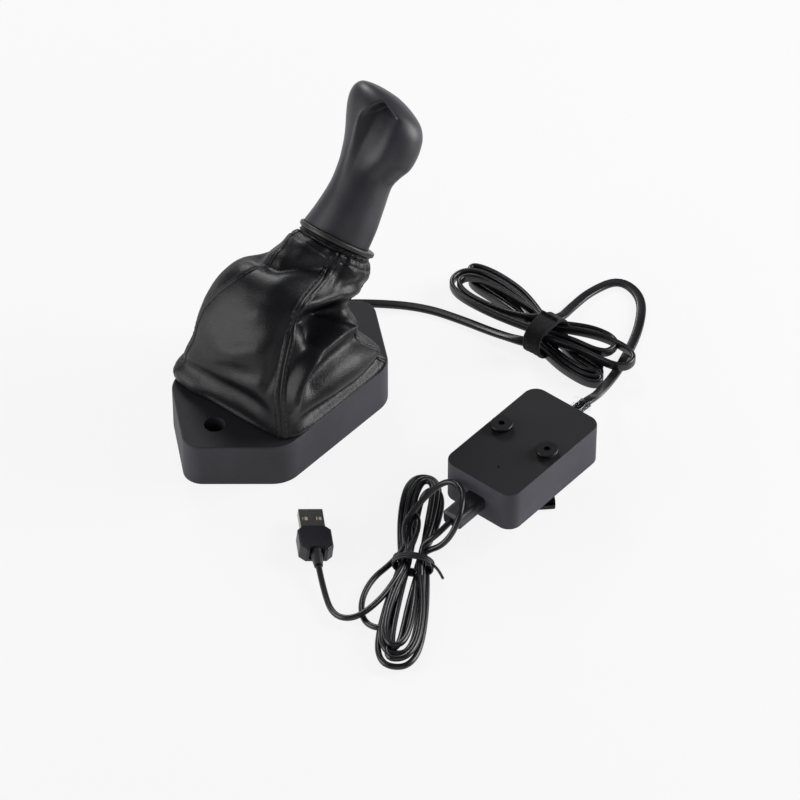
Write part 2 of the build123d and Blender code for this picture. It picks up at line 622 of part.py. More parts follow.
def box_cover():
    """Bottom cover of the control box, let in flush, with posts under the board."""
    cover = box_slab(BOX_WALL + 0.15, (BOX_Z[0], BOX_Z[0] + BOX_WALL))
    for x, y in bolt_places():
        cover -= rod(x, y, (BOX_Z[0] - 1, BOX_Z[0] + 5), BOLT_CLEAR_R)
    for x, y in box_screw_places():
        cover -= rod(x, y, (BOX_Z[0] - 1, BOX_Z[0] + 5), SCREW_R + 0.1)
        cover -= Pos(x, y, BOX_Z[0] + SCREW_HEAD / 2) * Cone(SCREW_HEAD_R + 0.1, SCREW_R + 0.1, SCREW_HEAD)
    for x, y in board_posts():
        cover += rod(x, y, (BOX_Z[0] + BOX_WALL - 0.5, BOARD_Z), 2.4)
        cover -= rod(x, y, (BOX_Z[0] + 1, BOARD_Z + 1), 0.82)
    return cover


def board_posts():
    return [(BOX_X[0] + 16, PORT_Y - 11), (BOX_X[0] + 16, PORT_Y + 11),
            (BOX_X[1] - 13, PORT_Y - 11), (BOX_X[1] - 13, PORT_Y + 11)]


def control_board():
    """Circuit board, notched round the bolt and screw posts."""
    x = (BOX_X[0] + BOX_WALL + 0.3, BOX_X[1] - BOX_WALL - 0.3)
    y = (BOX_Y[0] + BOX_WALL + 0.8, BOX_Y[1] - BOX_WALL - 0.8)
    board = box_between(x, y, (BOARD_Z, BOARD_Z + BOARD_THICK))
    for px, py in bolt_places():
        board -= rod(px, py, (0, 40), 4.9)
    for px, py in box_screw_places():
        outer_x = BOX_X[0] - 1 if px < BOLT_X else BOX_X[1] + 1
        outer_y = BOX_Y[0] - 1 if py < PORT_Y else BOX_Y[1] + 1
        reach = BOX_BOSS + 0.4
        inner_x = px + reach if px < BOLT_X else px - reach
        inner_y = py + reach if py < PORT_Y else py - reach
        board -= box_between(sorted((inner_x, outer_x)), sorted((inner_y, outer_y)), (0, 40))
    for px, py in board_posts():
        board -= rod(px, py, (0, 40), 0.95)
    return board


def board_screws():
    screws = []
    for x, y in board_posts():
        top = BOARD_Z + BOARD_THICK
        head = rod(x, y, (top, top + 1.2), 1.7)
        head -= Pos(x, y, top + 0.5) * extrude(RegularPolygon(0.6, 6), 2)
        screws.append(head + rod(x, y, (top - 5.5, top), 0.8))
    return screws


def micro_socket():
    """Sheet-metal micro USB socket on the board's edge."""
    top = BOARD_Z + BOARD_THICK
    x = (BOX_X[0] + 1.2, BOX_X[0] + 7.2)
    shell = box_between(x, (PORT_Y - 3.9, PORT_Y + 3.9), (top, top + 3.0))
    return shell - box_between((x[0] - 1, x[1] - 0.8), (PORT_Y - 3.45, PORT_Y + 3.45), (top + 0.4, top + 2.6))


def controller_chip():
    top = BOARD_Z + BOARD_THICK
    chip = box_between((12, 19), (PORT_Y - 3.5, PORT_Y + 3.5), (top, top + 1.0))
    return chamfer(chip.faces().sort_by(Axis.Z)[-1].edges(), 0.3)


def crystal():
    top = BOARD_Z + BOARD_THICK
    can = extrude(SlotOverall(11, 4.6), 3.4)
    return Pos(25, PORT_Y + 5.5, top) * fillet(can.faces().sort_by(Axis.Z)[-1].edges(), 0.5)


def status_led():
    """Small light with its pipe reaching up to the hole in the top."""
    top = BOARD_Z + BOARD_THICK
    x, y = LED_AT
    base = box_between((x - 1.6, x + 1.6), (y - 0.9, y + 0.9), (top, top + 1.0))
    return base + rod(x, y, (top + 1.0, BOX_Z[1] - 0.4), 0.8)


def mounting_bolt(x, y):
    """Low flat-head bolt, left standing a little proud of the box."""
    under = BOX_Z[1] + BOLT_STAND_OFF
    head = Pos(x, y, under + BOLT_HEAD / 2) * Cylinder(BOLT_HEAD_R, BOLT_HEAD)
    head = chamfer(head.edges().sort_by(Axis.Z)[-1], 0.4)
    bolt = head + rod(x, y, (0.4, under), BOLT_R)
    return bolt - Pos(x, y, under + 0.3) * extrude(RegularPolygon(1.7, 6), 3)


def slot_nut(x, y):
    """Nut for a profile slot, turned a little over 45 degrees on the bolt."""
    nut = extrude(fillet(Rectangle(NUT_SIDE, NUT_SIDE).vertices(), 1.0), NUT_THICK - 1.2)
    nut += Pos(0, 0, NUT_THICK - 1.2) * extrude(Rectangle(5.6, NUT_SIDE), 1.2)
    nut = Pos(x, y, 0) * Rot(0, 0, 45) * nut
    return nut - rod(x, y, (-1, NUT_THICK + 1), BOLT_R + 0.02)


def cord_route(points, name):
    """Straight runs joined by tangent arcs, with a radius fitted to each turn."""
    vectors = [Vector(*p) for p in points]
    radii = []
    for a, b, c in zip(vectors, vectors[1:], vectors[2:]):
        first, second = b - a, c - b
        turn = radians(first.get_angle(second))
        radii.append(0.45 * min(first.length, second.length) / tan(turn / 2))
    length = sum((b - a).length for a, b in zip(vectors, vectors[1:]))
    print(name, "radii", [round(r, 1) for r in radii], "chord length", round(length, 1))
    return FilletPolyline(*points, radius=radii)


def tube(points, radius, name):
    """Round cord along a route."""
    path = cord_route(points, name)
    return sweep(Plane(origin=path @ 0, z_dir=path % 0) * Circle(radius), path)


def flat_cord(points, name):
    """Flat cord along a route, its broad side up."""
    path = cord_route(points, name)
    start = path % 0
    side = Vector(0, 0, 1).cross(start)
    plane = Plane(origin=path @ 0, x_dir=side, z_dir=start)
    face = fillet(Rectangle(FLAT_WIDTH, FLAT_THICK).vertices(), 0.9)
    guide = Pos(0, 0, 10) * path
    return sweep(plane * face, path, binormal=guide.wire())


def jack_point(out, side, z):
    turn = radians(JACK_TURN)
    x = JACK_AT[0] + out * cos(turn) - side * sin(turn)
    y = JACK_AT[1] + out * sin(turn) + side * cos(turn)
    return (x, y, z)


JACK_MID_Z = (JACK_Z[0] + JACK_Z[1]) / 2
BASE_PLUG_OUT = 4.0
BOX_PLUG_OUT = 12.0
SIGNAL_RUN = [
    jack_point(BASE_PLUG_OUT + 0.2, 0, JACK_MID_Z),
    jack_point(BASE_PLUG_OUT + 17.0, 0.4, JACK_MID_Z - 1.6),
    (92.5, 9.0, 2.0),
    (103.5, -9.0, 1.3),
    (108.0, -29.0, 1.3),
    (109.6, -46.0, 2.4),
    (111.3, -60.7, 4.4),
]
SIGNAL_LOOP = [
    (135.3, -69.3, 7.5),
    (149.0, -65.8, 3.5),
    (167.0, -64.0, 1.3),
    (184.5, -69.5, 1.3),
    (180.5, -87.5, 1.3),
    (160.0, -101.0, 1.3),
    (137.0, -109.5, 1.3),
    (119.0, -114.6, 3.0),
    (101.5, -121.0, 11.0),
    (89.5, -127.6, 21.0),
    (BOX_X[1] + BOX_PLUG_OUT + 0.45, PORT_Y, JACK_PORT_Z - 0.2),
]
# Signal hank: station along -Y, centre x, centre z, half width, half height
SIGNAL_HANK = [
    (-2.5, 132.0, 5.0, 4.0, 3.0),
    (-8.0, 131.0, 6.0, 11.0, 5.0),
    (-20.0, 127.5, 6.4, 13.6, 5.6),
    (-38.0, 124.2, 6.4, 10.0, 5.2),
    (-52.0, 122.8, 6.6, 7.8, 5.0),
    (-68.0, 122.4, 6.9, 7.8, 4.9),
    (-84.0, 122.6, 7.2, 9.4, 5.0),
    (-98.0, 123.6, 8.2, 12.2, 4.9),
    (-109.0, 124.6, 8.4, 12.8, 4.6),
    (-116.0, 125.4, 8.2, 8.0, 3.4),
]
STRAP_Y = (-79.5, -61.0)
USB_TAIL = [
    (-76.0, -90.3, 4.9),
    (-85.0, -101.0, 2.8),
    (-95.0, -115.5, 2.4),
    (-92.0, -126.5, 5.0),
    (-76.0, -128.2, 5.8),
    (-57.5, -124.6, 6.5),
]
USB_LOOSE_LOOP = [
    (-51.5, -115.6, 4.8),
    (-64.0, -113.4, 2.2),
    (-78.0, -118.4, 1.6),
    (-87.6, -127.6, 1.6),
    (-88.4, -137.2, 2.6),
    (-82.5, -142.0, 4.6),
]
USB_PLUG_LEAD = [
    (BOX_X[0] - 19.55, PORT_Y, USB_PORT_Z),
    (-34.0, -128.6, 18.0),
    (-38.6, -119.8, 8.6),
]
USB_RAISED_LOOP = [
    (-33.0, -106.0, 8.5),
    (-22.5, -106.6, 15.5),
    (-11.6, -109.6, 22.6),
    (-7.2, -115.8, 27.4),
    (-10.4, -125.6, 29.0),
    (-21.0, -133.4, 28.2),
    (-29.6, -135.0, 20.4),
    (-34.0, -131.4, 12.8),
    (-36.2, -125.2, 7.8),
]
# USB hank: station from its upper end, sideways centre, centre z, half width, half height, roll
USB_HANK = [
    (0.0, 1.0, 4.0, 3.0, 2.4, 0),
    (6.0, 1.6, 5.8, 9.4, 4.6, 0),
    (18.0, 2.4, 6.2, 11.4, 5.2, 0),
    (32.0, 2.8, 6.3, 11.2, 5.2, 0),
    (46.0, 3.6, 6.3, 9.4, 5.2, 0),
    (60.0, 4.4, 6.4, 8.2, 5.1, 0),
    (76.0, 4.6, 6.3, 9.0, 5.2, 0),
    (94.0, 3.8, 6.0, 12.0, 5.0, 0),
    (112.0, 4.4, 5.4, 12.0, 4.6, 0),
    (124.0, 5.0, 4.6, 9.6, 3.9, 0),
    (130.5, 5.4, 4.0, 3.6, 2.4, 0),
]
HANK_ORIGIN = (4.8, -87.2)
HANK_TURN = degrees(atan2(-65, -104))


def outside(cord, coil):
    """The cord without the end that runs on inside a coil."""
    return (cord - coil).solids().sort_by(SortBy.VOLUME)[-1]


def signal_hank():
    """Outer shape of the folded flat cord, narrowest where the strap binds it."""
    rings = []
    for y, x, z, width, height in SIGNAL_HANK:
        plane = Plane(origin=(x, y, z), x_dir=(1, 0, 0), z_dir=(0, -1, 0))
        rings.append(plane * Ellipse(width, height))
    return loft(rings)


def usb_hank():
    """Outer shape of the coiled USB cord, drawn in at the twist tie."""
    place = Pos(*HANK_ORIGIN, 0) * Rot(0, 0, HANK_TURN)
    rings = []
    for along, side, z, width, height, roll in USB_HANK:
        plane = Plane(origin=(along, side, z), x_dir=(0, 1, 0), z_dir=(1, 0, 0))
        rings.append(plane * Rot(0, 0, roll) * Ellipse(width, height))
    return place * loft(rings)


def twist_tie():
    """Plastic-coated wire round the USB hank, its ends twisted together."""
    place = Pos(*HANK_ORIGIN, 0) * Rot(0, 0, HANK_TURN)
    plane = Plane(origin=(60.0, 4.4, 6.6), x_dir=(0, 1, 0), z_dir=(1, 0, 0))
    ring = extrude(plane * (Ellipse(10.0, 6.5) - Ellipse(9.0, 5.8)), 2.0, both=True)
    twist = Plane(origin=(60.0, 14.3, 6.8), x_dir=(1, 0, 0), z_dir=(0.25, 1, 0.12))
    return place * (ring + twist * Pos(0, 0, 3) * Cylinder(0.8, 6.4))


def hook_loop_strap():
    """Hook-and-loop strap wound round the flat cord's hank, its end lifted."""
    y_mid = (STRAP_Y[0] + STRAP_Y[1]) / 2
    half = (STRAP_Y[1] - STRAP_Y[0]) / 2
    plane = Plane(origin=(121.6, y_mid, 7.4), x_dir=(1, 0, 0), z_dir=(0, -1, 0))
    outer = fillet(Rectangle(25.6, 14.6).vertices(), 6.2)
    inner = fillet(Rectangle(22.2, 11.8).vertices(), 5.0)
    ring = extrude(plane * (outer - inner), half, both=True)
    tab = Plane(origin=(133.6, y_mid + 4.0, 12.4), x_dir=(1, 0, 0), z_dir=(0, 1, 0))
    flap = extrude(tab * Rot(0, 0, -24) * Pos(0.6, 0) * Rectangle(7.5, 1.4), 4.5, both=True)
    return ring + flap


def micro_plug():
    """Moulded micro USB plug in the side of the control box."""
    x = (BOX_X[0] - 19.2, BOX_X[0] - 0.1)
    body = box_between(x, (PORT_Y - 5.5, PORT_Y + 5.5), (USB_PORT_Z - 3.9, USB_PORT_Z + 3.9))
    body = fillet(body.edges().filter_by(Axis.X), 2.2)
    body = chamfer(body.faces().sort_by(Axis.X)[0].edges(), 1.2)
    tongue = box_between((BOX_X[0] - 0.2, BOX_X[0] + 5.6), (PORT_Y - 3.3, PORT_Y + 3.3),
                         (USB_PORT_Z - 0.95, USB_PORT_Z + 0.95))
    return body + tongue


# USB plug: rolled a little on its cord, its centre line at local z 0
USB_A_ROLL = 6.7
USB_A_PLACE = Pos(-77.0, -91.4, 4.95) * Rot(0, 0, 47.3) * Rot(USB_A_ROLL, 0, 0)
USB_A_RELIEF = 1.7
USB_A_COVER = (9.0, 26.2)
USB_A_HALF_WIDTH = 8.2
USB_A_HALF_HEIGHT = 3.9
USB_A_TIP = 38.8
SHELL_START = USB_A_COVER[1] - 4.8
SHELL_HALF = (6.0, 2.25)
SHELL_WALL = 0.3
WINDOW_X = USB_A_COVER[1] + 6.1


def usb_plug_cover():
    """Moulded cover of the USB plug, notched at its end round a tapered strain relief."""
    half_y, half_z = USB_A_HALF_WIDTH, USB_A_HALF_HEIGHT
    cover = box_between(USB_A_COVER, (-half_y, half_y), (-half_z, half_z))
    cover = chamfer(cover.edges().filter_by(Axis.Z), 3.0)
    cover = fillet(cover.faces().sort_by(Axis.Z)[-1].edges(), 0.9)
    start = USB_A_COVER[0]
    cover -= box_between((start - 1, start + 2.4), (-3.7, 3.7), (-half_z + 1.2, half_z + 1))
    length = start + 3.0 - USB_A_RELIEF
    cover += Pos(USB_A_RELIEF + length / 2, 0, 0) * Rot(0, 90, 0) * Cone(2.1, 3.5, length)
    gap = 0.02
    cover -= box_between((SHELL_START, USB_A_COVER[1] + 1), (-SHELL_HALF[0] - gap, SHELL_HALF[0] + gap),
                         (-SHELL_HALF[1] - gap, SHELL_HALF[1] + gap))
    return USB_A_PLACE * cover


def usb_plug_shell():
    """Folded metal shell of the USB plug with its two latch windows above and below."""
    x = (SHELL_START, USB_A_TIP)
    half_y, half_z = SHELL_HALF
    shell = box_between(x, (-half_y, half_y), (-half_z, half_z))
    shell = fillet(shell.edges().filter_by(Axis.X), 0.5)
    inner_y, inner_z = half_y - SHELL_WALL, half_z - SHELL_WALL
    shell -= box_between((x[0] + SHELL_WALL, x[1] + 1), (-inner_y, inner_y), (-inner_z, inner_z))
    for side in (-3.35, 3.35):
        window = (WINDOW_X - 1.25, WINDOW_X + 1.25)
        shell -= box_between(window, (side - 1.25, side + 1.25), (-half_z - 1, half_z + 1))
    return USB_A_PLACE * shell


def usb_plug_tongue():
    x = (SHELL_START + SHELL_WALL + 0.05, USB_A_TIP - 0.6)
    return USB_A_PLACE * box_between(x, (-5.6, 5.6), (-SHELL_HALF[1] + SHELL_WALL + 0.05, -0.05))


def usb_contacts():
    strips = []
    for y in (-3.5, -1.0, 1.0, 3.5):
        x = (SHELL_START + 2.0, USB_A_TIP - 1.6)
        strips.append(USB_A_PLACE * box_between(x, (y - 0.5, y + 0.5), (-0.05, 0.15)))
    return strips


save("base_housing", base_housing())
save("base_plate", base_plate())
save("base_screws", *[countersunk_screw(x, y, SCREW_LENGTH) for x, y in corner_places()])
save("bracket_screws", *[countersunk_screw(x, y, PLATE_THICK + BRACKET_PLATE) for x, y in bracket_holes()])
save("pivot_bracket", pivot_bracket())
save("pivot_bushes", pivot_bush(-1), pivot_bush(1))
save("rest_stop", rest_stop())
save("return_spring", return_spring())
save("sensor_board", sensor_board())
save("sensor_chip", sensor_chip())
save("sensor_header", sensor_header())
save("sensor_leads", *sensor_leads())
save("signal_jack", jack_place(0, JACK_MID_Z) * jack_body(JACK_DEPTH, JACK_WIDTH, JACK_Z[1] - JACK_Z[0]))
save("gaiter_frame", gaiter_frame())
FRAME_TOP = BASE_HEIGHT + FRAME_THICK
FRAME_SCREWS = [pan_screw(x, y, FRAME_TOP, FRAME_SCREW_LENGTH + 1.6) for x, y in corner_places(FRAME_REACH)]
save("frame_screws", *FRAME_SCREWS)
save("gaiter", gaiter())
save("neck_band", neck_band())
save("pivot_axle", pivot_axle())
save("axle_clips", circlip(-1), circlip(1))
save("lever_hub", lever_hub())
save("grub_screw", grub_screw())
save("lever_shaft", lever_shaft())
save("magnet_cup", magnet_cup())
save("magnet", magnet())
save("collar_ring", collar_ring())
save("grip", grip())
save("box_housing", box_housing())
save("box_cover", box_cover())
BOX_SCREWS = [Pos(0, 0, BOX_Z[0]) * countersunk_screw(x, y, SCREW_LENGTH) for x, y in box_screw_places()]
save("box_screws", *BOX_SCREWS)
save("control_board", control_board())
save("board_screws", *board_screws())
save("micro_socket", micro_socket())
BOX_JACK = jack_body(JACK_DEPTH - 1, JACK_WIDTH, 12.0)
save("box_jack", Pos(BOX_X[1], PORT_Y, JACK_PORT_Z) * BOX_JACK)
save("controller_chip", controller_chip())
save("crystal", crystal())
save("status_led", status_led())
save("mounting_bolts", *[mounting_bolt(x, y) for x, y in bolt_places()])
save("slot_nuts", *[slot_nut(x, y) for x, y in bolt_places()])
save("base_signal_plug", jack_place(0, JACK_MID_Z) * plug_body(BASE_PLUG_OUT))
save("signal_cable", flat_cord(SIGNAL_RUN, "signal cable"))
save("signal_hank", signal_hank())
save("hook_loop_strap", hook_loop_strap())
save("signal_loop", flat_cord(SIGNAL_LOOP, "signal loop"))
save("box_signal_plug", Pos(BOX_X[1], PORT_Y, JACK_PORT_Z) * plug_body(BOX_PLUG_OUT))
save("micro_plug", micro_plug())
USB_COIL = usb_hank()
save("usb_plug_lead", outside(tube(USB_PLUG_LEAD, USB_CORD_R, "usb plug lead"), USB_COIL))
save("usb_raised_loop", outside(tube(USB_RAISED_LOOP, USB_CORD_R, "usb raised loop"), USB_COIL))
save("usb_hank", USB_COIL)
save("twist_tie", twist_tie())
save("usb_loose_loop", outside(tube(USB_LOOSE_LOOP, USB_CORD_R, "usb loose loop"), USB_COIL))
save("usb_tail", outside(tube(USB_TAIL, USB_CORD_R, "usb tail"), USB_COIL))
save("usb_plug_cover", usb_plug_cover())
save("usb_plug_shell", usb_plug_shell())
save("usb_plug_tongue", usb_plug_tongue())
save("usb_contacts", *usb_contacts())
print(len(SAVED), "sub-parts")
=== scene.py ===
# %% [markdown]
# # Sim racing handbrake
# A handbrake lever in a leather gaiter stands on a small six-sided base. A flat cord joins it to a control
# box, and a round USB cord leaves the box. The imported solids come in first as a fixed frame, in metres.
# They could be dressed as they are, and the hard parts are. The soft ones, such as leather, cords and
# strap, are built anew here, because a CAD solid has no folds.

import json
import math

import bmesh
import bpy
import numpy as np
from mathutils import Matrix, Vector


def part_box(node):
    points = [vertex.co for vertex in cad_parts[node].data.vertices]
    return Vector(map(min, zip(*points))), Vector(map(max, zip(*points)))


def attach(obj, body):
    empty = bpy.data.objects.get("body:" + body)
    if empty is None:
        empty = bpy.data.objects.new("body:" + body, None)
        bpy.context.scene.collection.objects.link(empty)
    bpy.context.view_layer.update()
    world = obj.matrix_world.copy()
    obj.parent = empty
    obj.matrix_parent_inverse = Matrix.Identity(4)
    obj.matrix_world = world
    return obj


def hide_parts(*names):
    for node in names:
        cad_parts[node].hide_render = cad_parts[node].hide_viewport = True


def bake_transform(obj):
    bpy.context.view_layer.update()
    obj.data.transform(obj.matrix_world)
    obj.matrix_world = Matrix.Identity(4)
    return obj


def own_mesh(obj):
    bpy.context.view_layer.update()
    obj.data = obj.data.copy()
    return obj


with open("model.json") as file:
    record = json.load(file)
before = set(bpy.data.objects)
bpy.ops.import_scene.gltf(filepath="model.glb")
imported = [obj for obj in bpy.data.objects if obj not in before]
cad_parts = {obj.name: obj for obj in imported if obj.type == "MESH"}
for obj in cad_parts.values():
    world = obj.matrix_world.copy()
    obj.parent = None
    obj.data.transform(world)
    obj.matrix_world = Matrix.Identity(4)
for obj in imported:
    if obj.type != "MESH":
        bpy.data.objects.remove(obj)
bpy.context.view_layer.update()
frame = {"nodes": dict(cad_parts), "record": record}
nodes = frame["nodes"]

# %% [markdown]
# ## Camera
# A product photograph is taken from well away with a long lens, so that upright edges stay nearly parallel.
# The camera could be placed by eye. It was fitted instead, from the corners of the base and the box,
# because every piece can then be compared with the photograph. Azimuth 0 looks along +Y, and 90 looks along
# -X.

# %% Camera
CAMERA_TARGET = Vector((0.04281, -0.04124, 0.0))
CAMERA_AZIMUTH = -49.97
CAMERA_ELEVATION = 42.69
CAMERA_DISTANCE = 2.24245
CAMERA_LENS = 202.5


def add_object(name, data):
    """A new object in the scene."""
    made = bpy.data.objects.new(name, data)
    bpy.context.collection.objects.link(made)
    return made


def add_camera():
    azimuth = math.radians(CAMERA_AZIMUTH)
    elevation = math.radians(CAMERA_ELEVATION)
    away = Vector((
        math.sin(azimuth) * math.cos(elevation),
        -math.cos(azimuth) * math.cos(elevation),
        math.sin(elevation),
    ))
    data = bpy.data.cameras.new("camera")
    data.lens = CAMERA_LENS
    data.sensor_width = 36
    camera = add_object("camera", data)
    camera.location = CAMERA_TARGET + CAMERA_DISTANCE * away
    camera.rotation_euler = (-away).to_track_quat("-Z", "Y").to_euler()
    bpy.context.scene.camera = camera
    return camera


camera = add_camera()
print("camera at", [round(c, 3) for c in camera.location])

# %% [markdown]
# ## Shader helper
# A finish is a small tree of shader nodes. The nodes could be placed and wired one at a time, but that
# hides the idea behind the wiring. Here a finish is written as arithmetic: `Socket` wraps one output, so
# that `noise * 0.4 + 0.3` makes the two math nodes by itself.

# %% Shader sockets


class Socket:
    """One shader output that adds, subtracts and multiplies like a number."""

    def __init__(self, tree, output):
        self.tree = tree
        self.output = output

    def math(self, operation, other):
        node = self.tree.nodes.new("ShaderNodeMath")
        node.operation = operation
        link(self.tree, self, node.inputs[0])
        link(self.tree, other, node.inputs[1])
        return Socket(self.tree, node.outputs[0])

    def __add__(self, other):
        return self.math("ADD", other)

    def __mul__(self, other):
        return self.math("MULTIPLY", other)

    def __sub__(self, other):
        return self.math("SUBTRACT", other)

    def steps(self, low, high):
        """0 below low, 1 above high, smooth between."""
        node = self.tree.nodes.new("ShaderNodeMapRange")
        node.interpolation_type = "SMOOTHSTEP"
        link(self.tree, self, node.inputs["Value"])
        node.inputs["From Min"].default_value = low
        node.inputs["From Max"].default_value = high
        return Socket(self.tree, node.outputs[0])


def link(tree, value, target):
    """Connect a Socket, or set a plain number or colour."""
    if isinstance(value, Socket):
        tree.links.new(value.output, target)
    else:
        target.default_value = value


# %% [markdown]
# `Material` holds one Principled shader. Its patterns are read in object space, so they stay on a piece
# when the lever moves, and no picture file is needed.

# %% Material class
FINISHES = {}


class Material:
    """A Principled material, kept in FINISHES by its name, with helpers for patterns."""

    def __init__(self, name, color, roughness=0.5, metallic=0.0, **sockets):
        self.material = bpy.data.materials.new(name)
        FINISHES[name] = self.material
        self.material.use_nodes = True
        self.tree = self.material.node_tree
        self.shader = self.tree.nodes["Principled BSDF"]
        self.set("Base Color", (*color, 1.0))
        self.set("Roughness", roughness)
        self.set("Metallic", metallic)
        for key, value in sockets.items():
            self.set(key.replace("_", " "), value)

    def set(self, name, value):
        link(self.tree, value, self.shader.inputs[name])

    def node(self, kind, output=0, **inputs):
        node = self.tree.nodes.new(kind)
        for key, value in inputs.items():
            link(self.tree, value, node.inputs[key.replace("_", " ")])
        return Socket(self.tree, node.outputs[output])

    def place(self, scale=(1.0, 1.0, 1.0)):
        """Object coordinates, stretched."""
        coordinates = self.node("ShaderNodeTexCoord", "Object")
        return self.node("ShaderNodeMapping", Scale=scale, Vector=coordinates)

    def noise(self, scale, detail=3.0, rough=0.5, stretch=(1.0, 1.0, 1.0)):
        return self.node(
            "ShaderNodeTexNoise", 0, Vector=self.place(stretch), Scale=scale, Detail=detail, Roughness=rough
        )

    def cell_edges(self, scale):
        """Distance to the nearest edge between small cells."""
        cells = self.node("ShaderNodeTexVoronoi", "Distance", Vector=self.place(), Scale=scale)
        cells.output.node.feature = "DISTANCE_TO_EDGE"
        return cells

    def blend(self, factor, low, high):
        """Colour mix by a factor."""
        node = self.tree.nodes.new("ShaderNodeMix")
        node.data_type = "RGBA"
        link(self.tree, factor, node.inputs["Factor"])
        link(self.tree, (*low, 1.0) if isinstance(low, tuple) else low, node.inputs[6])
        link(self.tree, (*high, 1.0) if isinstance(high, tuple) else high, node.inputs[7])
        return Socket(self.tree, node.outputs[2])

    def bump(self, height, distance, strength=1.0, **before):
        """Relief by a height. Normal=... lays it over an earlier one."""
        result = self.node("ShaderNodeBump", Strength=strength, Distance=distance, Height=height, **before)
        self.set("Normal", result)
        return result


# %% [markdown]
# ## Plastics
# The base, the box and the grip are moulded plastic. A plain colour would look like a drawing. A real
# moulding has a fine grain from its tool and a sheen that varies slowly, so both are noises, one fine and
# one broad. The lids of the base and the box get painted shade: their upward faces are painted darker than
# their walls, standing in for the shade of lights that come mostly from the sides.

# %% Moulded plastic
SHEEN_SPREAD = 0.12


def moulded(name, color, roughness, grain=1500, depth=0.00004, painted_top_shade=1.0, **sockets):
    """Moulded plastic: fine grain, soft blotches, and painted shade that may darken upper faces."""
    m = Material(name, color, roughness, **sockets)
    fine = m.noise(grain, 4)
    broad = m.noise(28, 3)
    light = tuple(min(1.0, c * 1.5 + 0.004) for c in color)
    dark = tuple(c * 0.72 for c in color)
    shade = m.blend(broad.steps(0.3, 0.7) * 0.6 + fine * 0.4, dark, light)
    # Painted shade: faces that point up take a darker colour.
    if painted_top_shade != 1.0:
        upward = m.node("ShaderNodeSeparateXYZ", "Z", Vector=m.node("ShaderNodeNewGeometry", "Normal"))
        shade = m.blend(upward.steps(0.8, 0.97), shade, tuple(c * painted_top_shade for c in color))
    m.set("Base Color", shade)
    m.set("Roughness", (broad - 0.5) * SHEEN_SPREAD + (fine - 0.5) * SHEEN_SPREAD + roughness)
    m.bump(fine, depth)
    return m.material


# Painted shade darkens the lids of the base and, more strongly, of the box.
moulded(
    "base_plastic", (0.034, 0.033, 0.041), 0.64, 1900, 0.00006, painted_top_shade=0.4, Specular_IOR_Level=0.35)
moulded(
    "box_plastic", (0.055, 0.053, 0.064), 0.66, 2300, 0.00004, painted_top_shade=0.18, Specular_IOR_Level=0.3)
GRIP_BLACK = moulded("grip_plastic", (0.019, 0.018, 0.024), 0.44, 1400, 0.00003)
CORD_BLACK = moulded("cord_sheath", (0.006, 0.006, 0.008), 0.30, 900, 0.00002)
PLUG_BLACK = moulded("plug_plastic", (0.012, 0.012, 0.017), 0.42, 1700, 0.00003)
# Painted light: the tongue glows faintly, though it is no lamp.
GLOWING_TONGUE = moulded(
    "tongue_plastic", (0.80, 0.77, 0.70), 0.5, Emission_Color=(0.8, 0.76, 0.68, 1), Emission_Strength=0.3)
moulded("led_lens", (0.003, 0.002, 0.002), 0.5, Specular_IOR_Level=0.2)
for name, color, roughness, *grain in (
    ("collar_plastic", (0.010, 0.010, 0.011), 0.42, 1500, 0.00003),
    ("band_rubber", (0.015, 0.015, 0.015), 0.75, 700, 0.00005),
    ("frame_plastic", (0.02, 0.02, 0.02), 0.6), ("jack_plastic", (0.015, 0.015, 0.016), 0.5),
    ("bush_plastic", (0.74, 0.72, 0.66), 0.45), ("header_plastic", (0.80, 0.80, 0.78), 0.4),
    ("chip_plastic", (0.02, 0.02, 0.02), 0.55), ("circuit_board", (0.010, 0.115, 0.045), 0.35),
):
    moulded(name, color, roughness, *grain)
print("plastics:", len(FINISHES))

# %% [markdown]
# The plug at the box is clear, so that its cord shows inside it. Full glass bends light far more than a
# thin moulded shell does, and would hide the cord, so its index of refraction is set near that of air.

# %% Clear plastic with faint smears
clear = Material("clear_plastic", (0.93, 0.94, 0.95), 0.05, Transmission_Weight=1.0, IOR=1.12)
clear.set("Roughness", clear.noise(400, 2) * 0.05 + 0.01)
print("with clear plastic:", len(FINISHES))

# %% [markdown]
# ## Metals
# Screws, springs and the plug's shell are drawn, stamped or plated. Each keeps fine lines from that work,
# so one noise, stretched along the work's direction, drives both the roughness and a very shallow bump.

# %% Metals
LINE_DEPTH = 0.00001


def metal(name, color, roughness, stretch=(1, 1, 1), scale=900):
    """Metal with brush lines or a fine plated grain."""
    m = Material(name, color, roughness, 1.0)
    lines = m.noise(scale, 3, stretch=stretch)
    m.set("Roughness", (lines - 0.5) * 0.25 + roughness)
    m.set("Base Color", m.blend(lines, tuple(c * 0.85 for c in color), color))
    m.bump(lines, LINE_DEPTH)
    return m.material


SPRING = metal("spring_steel", (0.50, 0.50, 0.52), 0.28)
for name, color, roughness, *lines in (
    ("dark_steel", (0.030, 0.030, 0.032), 0.42, (1, 1, 1), 700), ("hub_steel", (0.05, 0.05, 0.055), 0.45),
    ("shaft_steel", (0.58, 0.58, 0.60), 0.30, (1, 1, 12), 300),
    ("bracket_steel", (0.60, 0.61, 0.63), 0.34, (6, 1, 1), 300),
    ("bright_metal", (0.30, 0.292, 0.28), 0.34, (10, 1, 1), 400),
    ("magnet_metal", (0.70, 0.70, 0.70), 0.20), ("contact_gold", (0.80, 0.60, 0.25), 0.25),
):
    metal(name, color, roughness, *lines)
print("with metals:", len(FINISHES))

# %% [markdown]
# ## Leather, thread and tape
# The gaiter is thin black leather with a worn sheen. Its pebbles could be modelled, but they are far
# smaller than a millimetre, so they come from a cell pattern in the bump. The folds are too large for that,
# and are geometry. The panel beyond the left seam looks duller and coarser, so it has a leather of its own.
# The strap's pile is a very fine noise.

# %% Leather, thread and tape


